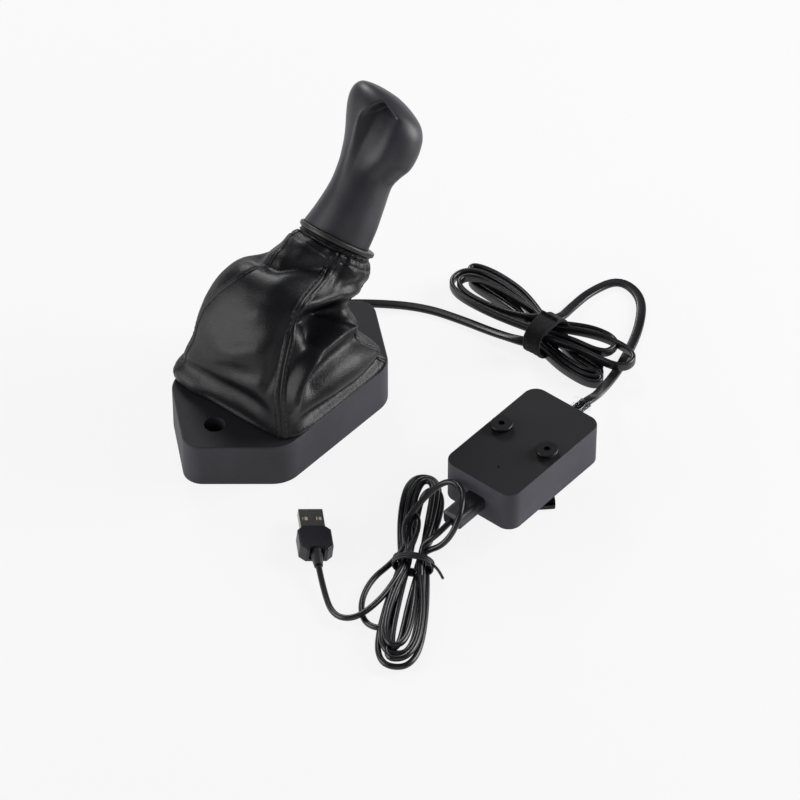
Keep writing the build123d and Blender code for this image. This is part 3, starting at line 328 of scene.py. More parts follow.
def leather(name, color, grain, gloss):
    """Soft black leather: fine pebbles, faint creases and a worn sheen."""
    m = Material(name, color, gloss, Specular_IOR_Level=0.32)
    cells = m.cell_edges(900)
    warp = m.noise(70, 4)
    pebble = cells.steps(0.0, 0.25)
    dark = tuple(c * 0.6 for c in color)
    light = tuple(c * 1.5 for c in color)
    m.set("Base Color", m.blend(pebble * (warp.steps(0.3, 0.7) * 0.6 + 0.4), dark, light))
    m.set("Roughness", pebble * -0.05 + warp * 0.05 + gloss)
    first = m.bump(pebble, grain)
    m.bump(m.noise(230, 5), 0.00012, 0.4, Normal=first)
    return m.material


def thread():
    """Waxed thread: twisted strands."""
    m = Material("seam_thread", (0.020, 0.020, 0.026), 0.35)
    twist = m.noise(1800, 2, stretch=(1, 1, 3))
    m.set("Roughness", twist * 0.3 + 0.35)
    m.bump(twist, 0.00008)
    return m.material


def strap_fabric():
    """Hook-and-loop tape: a close pile with matted patches."""
    m = Material("strap_fabric", (0.008, 0.008, 0.009), 0.9, Sheen_Weight=0.12, Sheen_Roughness=0.5,
                 Specular_IOR_Level=0.2)
    pile = m.noise(5200, 5, 0.7)
    mat = m.noise(420, 3)
    m.set("Base Color", m.blend(pile * 0.6 + mat * 0.4, (0.003, 0.003, 0.004), (0.018, 0.018, 0.020)))
    m.bump(pile * 0.7 + mat * 0.5, 0.0003)
    return m.material


LEATHER = leather("gaiter_leather", (0.0058, 0.0056, 0.0074), 0.00004, 0.38)
LEATHER_BACK = leather("gaiter_leather_back", (0.014, 0.014, 0.014), 0.00014, 0.55)
THREAD = thread()
STRAP = strap_fabric()
print("all finishes:", len(FINISHES))

# %% [markdown]
# ## Dressing the solids
# The frame's record names a material slot for every solid, and the finishes bear the slots' names. So a loop
# dresses them all, and a slot without a finish stops the script at once. Two pieces have another finish.

# %% Give every solid its material
OWN_FINISH = {"usb_plug_tongue": GLOWING_TONGUE, "twist_tie": PLUG_BLACK}


def dress_nodes():
    slots = {part["node"]: part["material_slot"] for part in frame["record"]["subparts"]}
    for name, node in nodes.items():
        material = OWN_FINISH[name] if name in OWN_FINISH else FINISHES[slots[name]]
        node.data.materials.clear()
        node.data.materials.append(material)


dress_nodes()
print("dressed", len(nodes), "solids")

# %% [markdown]
# ## Cords
# A cord could be simulated, but then it would not lie as in the photograph. Each one is a single smooth
# spline with a bevel instead: its free runs repeat the solids' routes, and its hank is wound by a loop. A
# curve's box counts the radius of its points, so that radius is kept small and the bevel is divided by it.

# %% Curve helpers
MM = 0.001
CURVE_RADIUS = 0.002


def nurbs(name, points, bevel, tilts=None):
    """One open NURBS spline of order 3 through millimetre control points."""
    data = bpy.data.curves.new(name, "CURVE")
    data.dimensions = "3D"
    data.twist_mode = "Z_UP"
    spline = data.splines.new("NURBS")
    spline.points.add(len(points) - 1)
    spline.points.foreach_set("radius", [CURVE_RADIUS] * len(points))
    for i, point in enumerate(points):
        spline.points[i].co = (point[0] * MM, point[1] * MM, point[2] * MM, 1)
        if tilts is not None:
            spline.points[i].tilt = tilts[i]
    spline.order_u = 3
    spline.use_endpoint_u = True
    spline.resolution_u = 6
    if isinstance(bevel, bpy.types.Object):
        data.bevel_mode = "OBJECT"
        data.bevel_object = bevel
    else:
        data.bevel_depth = bevel / CURVE_RADIUS
        data.bevel_resolution = 5
    data.use_fill_caps = True
    return add_object(name, data)


def line_length(points):
    """Length of a line of points, in metres."""
    return sum((Vector(b) - Vector(a)).length for a, b in zip(points, points[1:]))


def spline_points(piece):
    """The points that a cord's spline follows, read from the curve without its bevel."""
    data = piece.data.copy()
    data.bevel_depth = 0
    data.bevel_mode = "ROUND"
    data.bevel_object = None
    bare = add_object("bare", data)
    bpy.context.view_layer.update()
    graph = bpy.context.evaluated_depsgraph_get()
    mesh = bpy.data.meshes.new_from_object(bare.evaluated_get(graph))
    points = [tuple(v.co) for v in mesh.vertices]
    bpy.data.objects.remove(bare)
    bpy.data.curves.remove(data)
    bpy.data.meshes.remove(mesh)
    return points


# %% [markdown]
# A hank is a cord wound to and fro and tied in the middle. Every turn passes the tie in a slot of its own,
# opens to its widest lane, and goes round the end. Stations run along the hank, and a slot or a lane is
# (side, height).

# %% One loop of a hank
LOBE_SHARES = (0.22, 0.48, 0.74, 0.9)
OPEN_AT = 0.7
SHOULDER = 0.86
TIP = 0.42


def lobe(tie, end, slot_out, slot_back, out, back):
    """Control points of one loop: from the tie along one side, round the end and back."""
    middle = (out[0] + back[0]) / 2
    points = []
    for first, slot, lane in ((True, slot_out, out), (False, slot_back, back)):
        side = []
        for share in LOBE_SHARES:
            opened = math.sin(min(1.0, share / OPEN_AT) * math.pi / 2)
            v = slot[0] + (lane[0] - slot[0]) * opened
            z = slot[1] + (lane[1] - slot[1]) * opened
            if share > 0.8:
                v = middle + (lane[0] - middle) * SHOULDER
            side.append((tie + (end - tie) * share, v, z))
        side.append((end, middle + (lane[0] - middle) * TIP, (out[1] + back[1]) / 2))
        points.extend(side if first else side[::-1])
    return points


# %% [markdown]
# The USB cord starts at its micro plug, enters the hank at the twist tie, and goes out to the near end six
# times. On its way one loop stands up over the plug, one lies loose, and the tail ends at the USB-A plug.
# Where it isn't wound, its points are listed one by one, because nothing but the photograph says where a
# loose cord lies.

# %% USB cord's places
HANK_ORIGIN = (4.8, -87.2)
HANK_TURN = math.atan2(-65, -104)
HANK_TIE = 60.0
USB_DIAMETER = 0.003

USB_PLUG_LEAD = [(-23.9, -128.8, 20.3), (-34.0, -128.6, 18.0)]
USB_RAISED_LOOP = [
    (-33.0, -106.0, 8.5), (-22.5, -106.6, 15.5), (-11.6, -109.6, 22.6), (-7.2, -115.8, 27.4),
    (-10.4, -125.6, 29.0), (-21.0, -133.4, 28.2), (-29.6, -135.0, 20.4), (-34.0, -131.4, 12.8),
    (-36.2, -125.2, 7.8),
]
USB_LOOSE_LOOP = [
    (-51.5, -115.6, 4.8), (-64.0, -113.4, 2.2), (-78.0, -118.4, 1.6),
    (-87.6, -127.6, 1.6), (-88.4, -137.2, 2.6), (-82.5, -142.0, 4.6),
]
USB_TAIL = [
    (-76.0, -90.3, 4.9), (-85.0, -101.0, 2.8), (-95.0, -115.5, 2.4),
    (-92.0, -126.5, 5.0), (-76.0, -128.2, 5.8), (-57.5, -124.6, 6.5),
]
USB_ENTRY = (-37.6, -121.8, 10.2)
# Far and near loops: end station, left lane, right lane
USB_FAR = [
    (0.2, (-7.0, 3.4), (10.5, 2.6)),
    (3.4, (-4.0, 4.4), (9.6, 5.6)),
    (6.6, (-1.1, 5.2), (7.6, 8.2)),
    (9.6, (1.8, 4.6), (12.4, 3.4)),
]
USB_NEAR = [
    (129.0, (-5.6, 3.0), (15.2, 3.0)),
    (122.6, (-4.4, 5.4), (12.4, 4.6)),
    (119.6, (-1.8, 2.8), (11.4, 1.9)),
    (117.6, (0.8, 4.6), (5.4, 3.6)),
    (119.0, (-2.8, 7.6), (9.0, 7.0)),
]
USB_LAST_NEAR = (126.0, (-6.4, 5.0), (13.8, 5.6))
# The bend between the loose loop and the tail, out of sight in the hank
USB_HIDDEN_BEND = [
    (50.0, 0.2, 6.4), (40.0, -1.0, 8.6), (33.0, 1.0, 10.6), (40.0, 4.0, 11.2), (50.0, 3.6, 10.4),
]
# Where the runs pass the tie
LEFT_SLOTS = [(-1.6, 3.0), (0.0, 5.8), (1.4, 8.6), (1.8, 3.0), (3.2, 5.8), (4.4, 9.4)]
RIGHT_SLOTS = [(10.4, 4.4), (8.8, 7.6), (7.4, 10.2), (7.8, 4.6), (5.6, 2.2), (6.2, 7.4)]
print("USB hank:", len(USB_NEAR) + 1, "near loops and", len(USB_FAR), "far loops")

# %% USB cord


def hank_place(station, side, height):
    """From the hank's own directions to the row frame, in millimetres."""
    c, s = math.cos(HANK_TURN), math.sin(HANK_TURN)
    return (HANK_ORIGIN[0] + station * c - side * s, HANK_ORIGIN[1] + station * s + side * c, height)


def usb_route():
    """Control points of the whole round cord."""
    route = USB_PLUG_LEAD + [USB_ENTRY]
    for k, (end, left_lane, right_lane) in enumerate(USB_NEAR):
        left, right = LEFT_SLOTS[k], RIGHT_SLOTS[k]
        near = lobe(HANK_TIE, end, right, left, right_lane, left_lane)
        route += [hank_place(*p) for p in [(HANK_TIE, *right)] + near + [(HANK_TIE, *left)]]
        if k < len(USB_FAR):
            end, left_lane, right_lane = USB_FAR[k]
            onward = RIGHT_SLOTS[k + 1]
            route += [hank_place(*p) for p in lobe(HANK_TIE, end, left, onward, left_lane, right_lane)]
        else:
            route += USB_RAISED_LOOP
    right, left = RIGHT_SLOTS[-1], LEFT_SLOTS[-1]
    end, left_lane, right_lane = USB_LAST_NEAR
    last = [(HANK_TIE, *right)] + lobe(HANK_TIE, end, right, left, right_lane, left_lane)[:6]
    route += [hank_place(*p) for p in last]
    route += USB_LOOSE_LOOP[::-1]
    route += [hank_place(*p) for p in USB_HIDDEN_BEND]
    return route + USB_TAIL[::-1]


usb_points = usb_route()
usb_cord = nurbs("usb_cord", usb_points, USB_DIAMETER / 2)
usb_length = line_length(spline_points(usb_cord))
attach(usb_cord, "base")
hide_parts("usb_plug_lead", "usb_raised_loop", "usb_hank", "usb_loose_loop", "usb_tail")
usb_cord.data.materials.append(CORD_BLACK)
print("usb cord", len(usb_points), "points", round(usb_length, 3), "m")

# %% [markdown]
# The signal cord is flat. It lies on its broad side where it runs free, and stands on edge in its hank,
# because a flat cord only bends across its thin side. A bevel of its own profile, turned by each point's
# tilt, shows that. A round bevel could not.

# %% Signal cord's places
FLAT_WIDTH = 0.0050
FLAT_THICK = 0.0023
FLAT_ROUND = 0.0009
ON_EDGE = math.pi / 2
SIGNAL_RUN = [
    (58.2, 21.7, 8.35), (68.0, 30.3, 6.75), (92.5, 9.0, 2.0), (103.5, -9.0, 1.3),
    (108.0, -29.0, 1.3), (109.6, -46.0, 2.4), (111.3, -60.7, 4.4),
]
SIGNAL_LOOP = [
    (135.3, -69.3, 7.5), (149.0, -65.8, 3.5), (167.0, -64.0, 1.3), (184.5, -69.5, 1.3),
    (180.5, -87.5, 1.3), (160.0, -101.0, 1.3), (137.0, -109.5, 1.3), (119.0, -114.6, 3.0),
    (101.5, -121.0, 11.0), (89.5, -127.6, 21.0), (78.4, -128.8, 24.6),
    (67.5, -128.8, 24.6),
]
SIGNAL_TIE = 70.0
SIGNAL_AXIS = 122.0
SIGNAL_FAR = [
    (7.4, (13.0, 3.2), (22.6, 3.2)),
    (10.0, (10.0, 3.2), (19.6, 3.2)),
    (12.8, (7.0, 3.2), (16.8, 3.2)),
    (8.8, (-6.6, 7.4), (14.2, 8.4)),
    (12.6, (-3.4, 7.4), (10.6, 8.4)),
]
SIGNAL_NEAR = [
    (111.5, (-12.4, 3.0), (-3.0, 3.2)),
    (109.0, (-9.4, 3.2), (0.4, 3.2)),
    (106.5, (-6.4, 3.4), (3.4, 3.4)),
    (118.0, (1.0, 8.2), (16.4, 8.2)),
    (104.0, (3.8, 8.6), (19.6, 6.4)),
]
SIGNAL_LEFT = [(-6.4, 4.0), (-4.0, 4.0), (-1.6, 4.0), (-5.2, 9.4), (-2.6, 9.4)]
SIGNAL_RIGHT = [(5.6, 4.0), (3.2, 4.0), (0.8, 4.0), (2.4, 9.4), (5.0, 9.4)]
SIGNAL_TOP_SLOT = (4.0, 11.6)
SIGNAL_WAY_OUT = (66.0, 5.0, 11.0)
print("signal hank:", len(SIGNAL_NEAR), "near loops and", len(SIGNAL_FAR), "far loops")

# %% Signal cord


def signal_place(station, side, height):
    """As hank_place, for a hank along the row frame's Y."""
    return (SIGNAL_AXIS + side, -station, height)


def flat_profile():
    """Cross-section of the flat cord, rounded at its edges."""
    data = bpy.data.curves.new("flat_section", "CURVE")
    data.dimensions = "2D"
    spline = data.splines.new("POLY")
    half_w, half_t = FLAT_WIDTH / 2, FLAT_THICK / 2
    corners = []
    for cx, cy, start in ((1, 1, 0), (-1, 1, 90), (-1, -1, 180), (1, -1, 270)):
        for step in range(4):
            angle = math.radians(start + step * 30)
            corners.append((
                cx * (half_w - FLAT_ROUND) + FLAT_ROUND * math.cos(angle),
                cy * (half_t - FLAT_ROUND) + FLAT_ROUND * math.sin(angle),
            ))
    spline.points.add(len(corners) - 1)
    for point, corner in zip(spline.points, corners):
        point.co = (corner[0] / CURVE_RADIUS, corner[1] / CURVE_RADIUS, 0, 1)
    spline.use_cyclic_u = True
    return bpy.data.objects.new("flat_section", data)


def signal_route():
    """Control points and tilts of the whole flat cord."""
    route = [(p, 0.0) for p in SIGNAL_RUN]
    onward_slots = SIGNAL_LEFT[1:] + [SIGNAL_TOP_SLOT]
    for k, (end, left_lane, right_lane) in enumerate(SIGNAL_NEAR):
        left, right = SIGNAL_LEFT[k], SIGNAL_RIGHT[k]
        near = lobe(SIGNAL_TIE, end, left, right, left_lane, right_lane)
        end, left_lane, right_lane = SIGNAL_FAR[k]
        far = lobe(SIGNAL_TIE, end, right, onward_slots[k], right_lane, left_lane)
        turn = [(SIGNAL_TIE, *left)] + near + [(SIGNAL_TIE, *right)] + far
        route += [(signal_place(*p), ON_EDGE) for p in turn]
    route.append((signal_place(*SIGNAL_WAY_OUT), ON_EDGE * 0.6))
    return route + [(p, 0.0) for p in SIGNAL_LOOP]


signal_route_points = signal_route()
signal_cord = nurbs(
    "signal_cord", [p for p, _ in signal_route_points], flat_profile(), [t for _, t in signal_route_points]
)
signal_length = line_length(spline_points(signal_cord))
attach(signal_cord, "base")
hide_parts("signal_cable", "signal_hank", "signal_loop")
signal_cord.data.materials.append(CORD_BLACK)
print("signal cord", len(signal_route_points), "points", round(signal_length, 3), "m")

# %% [markdown]
# ## Gaiter
# The boot is sewn from four panels of leather, clamped at its hem and gathered under the collar. A cloth
# simulation would fold it somewhere, but not where the photograph's folds are. So it is one surface, given
# by an angle round the lever and a share of the height, and its plain form repeats the solid's sections.

# %% Gaiter's plain form
LEAN_DEGREES = 43
LEAN = math.radians(LEAN_DEGREES)
# Centre x, y, z, lean in degrees, half depth, half width, squareness (millimetres)
GAITER_SECTIONS = np.array([
    (2.0, 1.5, 25.2, 0, 39.6, 38.4, 8), (2.0, 2.0, 33.0, 0, 39.4, 38.6, 7),
    (-0.5, 2.5, 46.0, 9, 35.4, 36.0, 4), (5.0, 3.5, 60.0, 20, 32.0, 33.5, 3),
    (15.0, 4.0, 71.0, 30, 28.5, 28.5, 2.5), (30.0, 2.0, 74.2, 38, 23.6, 20.5, 2.2),
    (36.8, 0.4, 76.8, 42, 20.6, 18.6, 2), (42.2, 0.0, 80.7, LEAN_DEGREES, 17.6, 17.6, 2),
])


def smooth_rows(table, stations):
    """A table's rows, blended smoothly at stations between them."""
    last = len(table) - 1
    i = np.minimum(np.floor(stations).astype(int), last - 1)
    f = (stations - i)[..., None]
    before, low = table[np.maximum(i - 1, 0)], table[i]
    high, after = table[i + 1], table[np.minimum(i + 2, last)]
    return 0.5 * (2 * low + (high - before) * f + (2 * before - 5 * low + 4 * high - after) * f ** 2
                  + (3 * low - before - 3 * high + after) * f ** 3)


def plain_surface(angle, share):
    stations = np.clip(share, 0, 1) * (len(GAITER_SECTIONS) - 1)
    x, y, z, lean, depth, width, power = np.moveaxis(smooth_rows(GAITER_SECTIONS, stations), -1, 0)
    c, s = np.cos(angle), np.sin(angle)
    radius = ((np.abs(c) / depth) ** power + (np.abs(s) / width) ** power) ** (-1 / power)
    tilt = np.radians(lean)
    return np.stack([x + radius * c * np.cos(tilt), y + radius * s, z - radius * c * np.sin(tilt)], -1)


def normals(surface, angle, share):
    """Outward normals of a surface by small steps."""
    step = 0.004
    low, high = np.clip(share - step, 0, 1), np.clip(share + step, 0, 1)
    around = surface(angle + step, share) - surface(angle - step, share)
    upward = surface(angle, high) - surface(angle, low)
    normal = np.cross(around, upward)
    return normal / np.linalg.norm(normal, axis=-1, keepdims=True)


print("gaiter's sections:", len(GAITER_SECTIONS))

# %% [markdown]
# A fold could be sculpted by hand, but then it couldn't be changed by a number. Each one here is a ridge or
# a valley along a line drawn on the plain form: a height, a width, and the line's (degrees, share) points.
# The deepest valley lies under the overhang of the neck, where the photograph is almost black.

# %% Folds
# Ridges are above 0 and valleys below: height, width, line
FOLDS = [
    (2.5, 3.2, [(-134, 0.54), (-128, 0.571), (-108, 0.60), (-86, 0.62), (-60, 0.63), (-25, 0.62)]),
    (-12.0, 5.6, [(-125, 0.50), (-112, 0.52), (-95, 0.54), (-82, 0.545), (-74, 0.55)]),
    (-7.0, 4.6, [(-70, 0.50), (-82, 0.51), (-97, 0.485), (-108, 0.45), (-114, 0.425)]),
    (-2.5, 6.0, [(-70, 0.555), (-50, 0.55), (-20, 0.52), (10, 0.50), (50, 0.50)]),
    (8.5, 2.9, [(-64, 0.46), (-72, 0.465), (-80, 0.465), (-97, 0.44), (-112, 0.40), (-121, 0.355),
                (-127, 0.28), (-131, 0.2)]),
    (-4.0, 4.5, [(-118, 0.24), (-104, 0.29), (-85, 0.33), (-60, 0.36), (-45, 0.35)]),
    (2.0, 8.0, [(-108, 0.17), (-80, 0.20), (-55, 0.18)]),
    (-3.0, 3.0, [(-131, 0.13), (-103, 0.10), (-67, 0.08), (-30, 0.09), (0, 0.10), (45, 0.10)]),
    (1.6, 1.7, [(-140, 0.02), (-103, 0.02), (-67, 0.02), (-30, 0.02), (0, 0.02), (45, 0.02)]),
    (-2.4, 4.5, [(90, 0.14), (138, 0.16), (163, 0.18), (-166, 0.20), (-145, 0.19)]),
    (2.6, 4.5, [(112, 0.10), (130, 0.105), (145, 0.10), (158, 0.07)]),
    (1.0, 1.7, [(45, 0.02), (90, 0.02), (135, 0.02), (180, 0.02), (220, 0.02)]),
    (4.0, 7.0, [(-98, 0.80), (-84, 0.80), (-68, 0.79), (-54, 0.79), (-35, 0.80), (-10, 0.82)]),
    (2.4, 8.0, [(-56, 0.40), (-40, 0.36)]),
    (-1.2, 2.2, [(-123, 0.92), (-114, 0.74), (-115, 0.65)]),
    (-0.8, 1.8, [(-104, 0.93), (-98, 0.82)]),
    (-1.3, 2.6, [(-90, 0.93), (-83, 0.74), (-95, 0.66)]),
    (-0.8, 1.8, [(-70, 0.93), (-68, 0.84)]),
    (-0.8, 1.8, [(-52, 0.93), (-52, 0.84)]),
    (-4.0, 4.2, [(100, 0.66), (130, 0.65), (176, 0.665), (-178, 0.69), (-163, 0.73), (-145, 0.775),
                 (-130, 0.80)]),
    (2.6, 6.0, [(100, 0.86), (125, 0.87), (160, 0.86), (-170, 0.86)]),
    (-2.2, 11.0, [(112, 0.26), (128, 0.27), (142, 0.27), (158, 0.25)]),
    (1.6, 5.0, [(172, 0.32), (-166, 0.36), (-147, 0.41)]),
    (-2.0, 4.5, [(158, 0.235), (-174, 0.28), (-150, 0.31)]),
    (1.6, 6.0, [(-166, 0.56), (-161, 0.66)]),
    (-1.6, 3.2, [(-147, 0.25), (-141, 0.33), (-139, 0.42), (-136, 0.50)]),
    (1.2, 5.0, [(178, 0.46), (-150, 0.52)]),
]


def dense_line(line, per_span=14):
    """A line of (degrees, share) points with smooth steps between them."""
    points = np.array(line, float)
    points[:, 0] = np.degrees(np.unwrap(np.radians(points[:, 0])))
    stations = np.arange(len(points))
    fine = np.linspace(0, len(points) - 1, per_span * (len(points) - 1) + 1)
    around = ((-0.25, 0.25), (0, 0.5), (0.25, 0.25))
    degrees, share = (
        sum(weight * np.interp(fine + shift, stations, column) for shift, weight in around)
        for column in points.T
    )
    return np.radians(degrees), share


def fold_height(places):
    """Sum of the folds at places on the plain form. A fold fades towards the ends of its line."""
    height = np.zeros(places.shape[:-1])
    for rise, width, line in FOLDS:
        angle, share = dense_line(line)
        course = plain_surface(angle, share)
        steps = np.arange(len(course))
        ends = np.minimum(1, np.minimum(steps, steps[::-1]) / 10 + 0.25)
        away = np.linalg.norm(places[..., None, :] - course, axis=-1) / width
        height += rise * (np.exp(-away ** 2) * ends).max(axis=-1)
    return height


print("folds:", len(FOLDS))

# %% [markdown]
# Between its folds, real leather is never quite even. Seeded sums of slow waves give the same unevenness on
# every run. The neck is gathered into small pleats, mostly on the side where the leather is slack.

# %% Gaiter's surface
GATHERS = 21


def soft_waves(places, seed, count, shortest, longest):
    """Seeded sum of slow waves, about -1 to 1."""
    chance = np.random.default_rng(seed)
    total = np.zeros(places.shape[:-1])
    for _ in range(count):
        direction = chance.normal(size=3)
        direction /= np.linalg.norm(direction)
        length = chance.uniform(shortest, longest)
        total += np.sin(places @ direction * 2 * np.pi / length + chance.uniform(0, 6.28))
    return total / math.sqrt(count)


def gaiter_surface(angle, share):
    """The boot with its folds, its gathers under the collar and soft unevenness."""
    angle, share = np.broadcast_arrays(np.asarray(angle, float), np.asarray(share, float))
    places = plain_surface(angle, share)
    height = fold_height(places)
    gather = np.clip((share - 0.80) / 0.12, 0, 1) * np.clip((1.0 - share) / 0.03, 0, 1)
    right = 0.35 + 0.65 * np.exp(-((np.degrees(angle) + 65) / 60) ** 2)
    height += gather * right * 0.45 * np.sin(GATHERS * angle + 2.5 * np.sin(3 * angle) + 6 * share)
    loose = np.clip(share / 0.12, 0, 1) * np.clip((0.97 - share) / 0.1, 0, 1)
    height += loose * (0.40 * soft_waves(places, 4, 14, 22, 44) + 0.05 * soft_waves(places, 9, 16, 6, 12))
    # Two grooves draw the neck in
    height -= 1.3 * np.exp(-((share - 0.955) / 0.010) ** 2) + 0.5 * np.exp(-((share - 0.88) / 0.008) ** 2)
    return places + normals(plain_surface, angle, share) * height[..., None]


# %% [markdown]
# The mesh is an open sleeve, as the boot is. Its hem rolls in over the base and its neck rolls in under the
# collar, so that no raw edge shows. An even grid of rows and columns keeps the surface smooth.

# %% Gaiter mesh
COLUMNS = 240
ROWS = 120
# Rolled edges: scale about the ring's centre, and rise
HEM_ROLL = ((0.90, -0.6), (0.975, -0.8), (1.0, -0.5))
NECK_ROLL = ((1.02, 0.5), (0.98, 0.9), (0.86, 0.8))
# The duller panel, in degrees
BACK_PANEL = (48, 136)


def mesh_piece(name, vertices, faces, material):
    """A smooth-shaded object from vertices in metres."""
    mesh = bpy.data.meshes.new(name)
    mesh.from_pydata([tuple(v) for v in vertices], [], [tuple(int(i) for i in f) for f in faces])
    mesh.materials.append(material)
    mesh.polygons.foreach_set("use_smooth", [True] * len(mesh.polygons))
    return add_object(name, mesh)


def grid_faces(rows, columns, closed=True):
    """Quads between the rows of a grid, whose columns may close to a ring."""
    r, c = np.meshgrid(np.arange(rows - 1), np.arange(columns if closed else columns - 1), indexing="ij")
    n = (c + 1) % columns
    low, high = r * columns, (r + 1) * columns
    return np.stack([low + c, low + n, high + n, high + c], -1).reshape(-1, 4)


def ring_caps(rows, columns):
    """The two end faces of a tube of rings."""
    return [tuple((rows - 1) * columns + k for k in range(columns)), tuple(range(columns - 1, -1, -1))]


def add_gaiter():
    angle = np.linspace(-math.pi, math.pi, COLUMNS, endpoint=False)
    share = np.linspace(0, 1, ROWS)
    grid = gaiter_surface(angle[None, :], share[:, None])
    hem, neck = grid[0], grid[-1]
    hem_centre, neck_centre = hem.mean(axis=0), neck.mean(axis=0)
    hem_rows = [hem_centre + (hem - hem_centre) * scale + (0, 0, rise) for scale, rise in HEM_ROLL]
    upward = np.array([math.sin(LEAN), 0, math.cos(LEAN)])
    neck_rows = [neck_centre + (neck - neck_centre) * scale + upward * rise for scale, rise in NECK_ROLL]
    rows = np.concatenate([np.array(hem_rows), grid, np.array(neck_rows)])
    piece = mesh_piece("gaiter_leather", rows.reshape(-1, 3) * MM, grid_faces(len(rows), COLUMNS), LEATHER)
    piece.data.materials.append(LEATHER_BACK)
    for face in piece.data.polygons:
        degrees = -180 + 360 * (face.index % COLUMNS) / COLUMNS
        if BACK_PANEL[0] < degrees < BACK_PANEL[1]:
            face.material_index = 1
    return piece


gaiter_pieces = [add_gaiter()]
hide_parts("gaiter")
print("gaiter vertices", len(gaiter_pieces[0].data.vertices))

# %% [markdown]
# Four felled seams join the panels: the edges are folded under and sewn down on both sides. A seam drawn in
# the bump would vanish at the outline, so each is a raised band with a groove, and every stitch is a small
# bar.

# %% Seams and stitches
# Name, size, and line of (degrees, share)
SEAMS = [
    ("front", 1.0, [(-138, 0.0), (-138, 0.08), (-137, 0.214), (-135, 0.318), (-134, 0.432), (-134, 0.546),
                    (-131, 0.66), (-133, 0.78), (-136, 0.88), (-136, 0.97)]),
    ("left", 0.6, [(136, 0.0), (137, 0.2), (137, 0.40), (143, 0.47), (153, 0.545), (159, 0.61),
                   (155, 0.69), (148, 0.78), (140, 0.88), (138, 0.97)]),
    ("right", 0.8, [(-44, 0.0), (-45, 0.2), (-46, 0.4), (-46, 0.6), (-45, 0.8), (-45, 0.97)]),
    ("back", 0.8, [(45, 0.0), (45, 0.2), (45, 0.4), (45, 0.6), (45, 0.8), (45, 0.97)]),
]
# Across half a seam, from its groove: distance, lift
SEAM_HALF = [(0.4, 0.55), (1.2, 0.7), (1.9, 0.35), (2.8, 0.4), (3.0, -0.3)]
SEAM_PROFILE = [(-away, lift) for away, lift in SEAM_HALF[::-1]] + [(0.0, -0.2)] + SEAM_HALF
STITCH_ROW = 1.9
STITCH_LIFT = 0.35
STITCH_PITCH = 3.2
STITCH_LENGTH = 2.3
# Along a stitch: share, radius, rise
STITCH_RINGS = ((0.0, 0.14, -0.3), (0.2, 0.22, 0.0), (0.5, 0.25, 0.06), (0.8, 0.22, 0.0), (1.0, 0.14, -0.3))
STITCH_SIDES = 6


def seam_course(line, spacing):
    """Evenly spaced (angle, share) stations along a seam."""
    angle, share = dense_line(line, 30)
    course = gaiter_surface(angle, share)
    along = np.concatenate([[0], np.cumsum(np.linalg.norm(np.diff(course, axis=0), axis=1))])
    steps = np.arange(0, along[-1], spacing)
    return np.interp(steps, along, angle), np.interp(steps, along, share)


def beside(angle, share, away, lift):
    """Point on the gaiter a distance to the side of a seam, raised a little."""
    here = gaiter_surface(angle, share)
    turn = np.linalg.norm(gaiter_surface(angle + 0.01, share) - here, axis=-1) / 0.01
    moved = angle + away / np.maximum(turn, 8)
    return gaiter_surface(moved, share) + normals(gaiter_surface, moved, share) * lift


def add_seam(name, line, size):
    """Felled seam: a raised band with a groove down its middle."""
    angle, share = seam_course(line, 1.0)
    rows = np.stack([beside(angle, share, away * size, lift * size) for away, lift in SEAM_PROFILE], 1)
    faces = grid_faces(len(rows), len(SEAM_PROFILE), closed=False)
    return mesh_piece(name, rows.reshape(-1, 3) * MM, faces, LEATHER)


def add_stitches(name, line, size):
    """Thread stitches as small rounded bars lying on the leather, one row on each side."""
    vertices, faces = [], []
    for away in (-STITCH_ROW * size, STITCH_ROW * size):
        angle, share = seam_course(line, STITCH_PITCH)
        places = beside(angle, share, away, STITCH_LIFT * size)
        up = normals(gaiter_surface, angle, share)
        for a, b, n in zip(places[:-1], places[1:], up[:-1]):
            run = (b - a) / np.linalg.norm(b - a)
            side = np.cross(run, n)
            side /= np.linalg.norm(side)
            first = len(vertices)
            for along, radius, rise in STITCH_RINGS:
                centre = a + run * STITCH_LENGTH * along + n * rise
                for k in range(STITCH_SIDES):
                    turn = 2 * math.pi * k / STITCH_SIDES
                    vertices.append(centre + radius * (math.cos(turn) * side + math.sin(turn) * n))
            bar = [*grid_faces(len(STITCH_RINGS), STITCH_SIDES)]
            bar += [cap[::-1] for cap in ring_caps(len(STITCH_RINGS), STITCH_SIDES)]
            faces += [tuple(first + i for i in face) for face in bar]
    return mesh_piece(name, np.array(vertices) * MM, faces, THREAD)


for seam_name, seam_size, seam_line in SEAMS:
    gaiter_pieces.append(add_seam("gaiter_seam_" + seam_name, seam_line, seam_size))
    gaiter_pieces.append(add_stitches("gaiter_stitches_" + seam_name, seam_line, seam_size))
print("gaiter pieces", len(gaiter_pieces), "vertices", sum(len(p.data.vertices) for p in gaiter_pieces))

# %% [markdown]
# The hem stays on the base while the neck goes with the lever. The leather could be cut in two at some
# height, but it would tear there. Here every piece only has its placing baked into its vertices.

# %% Bake the gaiter's pieces
for piece in gaiter_pieces:
    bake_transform(piece)
print("bending pieces:", len(gaiter_pieces))

# %% [markdown]
# ## Grip
# The grip is one soft-touch moulding. It could be the solid itself, but its thumb scoop has edges that
# soften along their length, which a CAD cut hasn't. So the solid's sections are blended into a fine grid,
# and the scoop is pressed into that: steep under a gabled roof, soft at its sides, and fading out towards
# the waist.

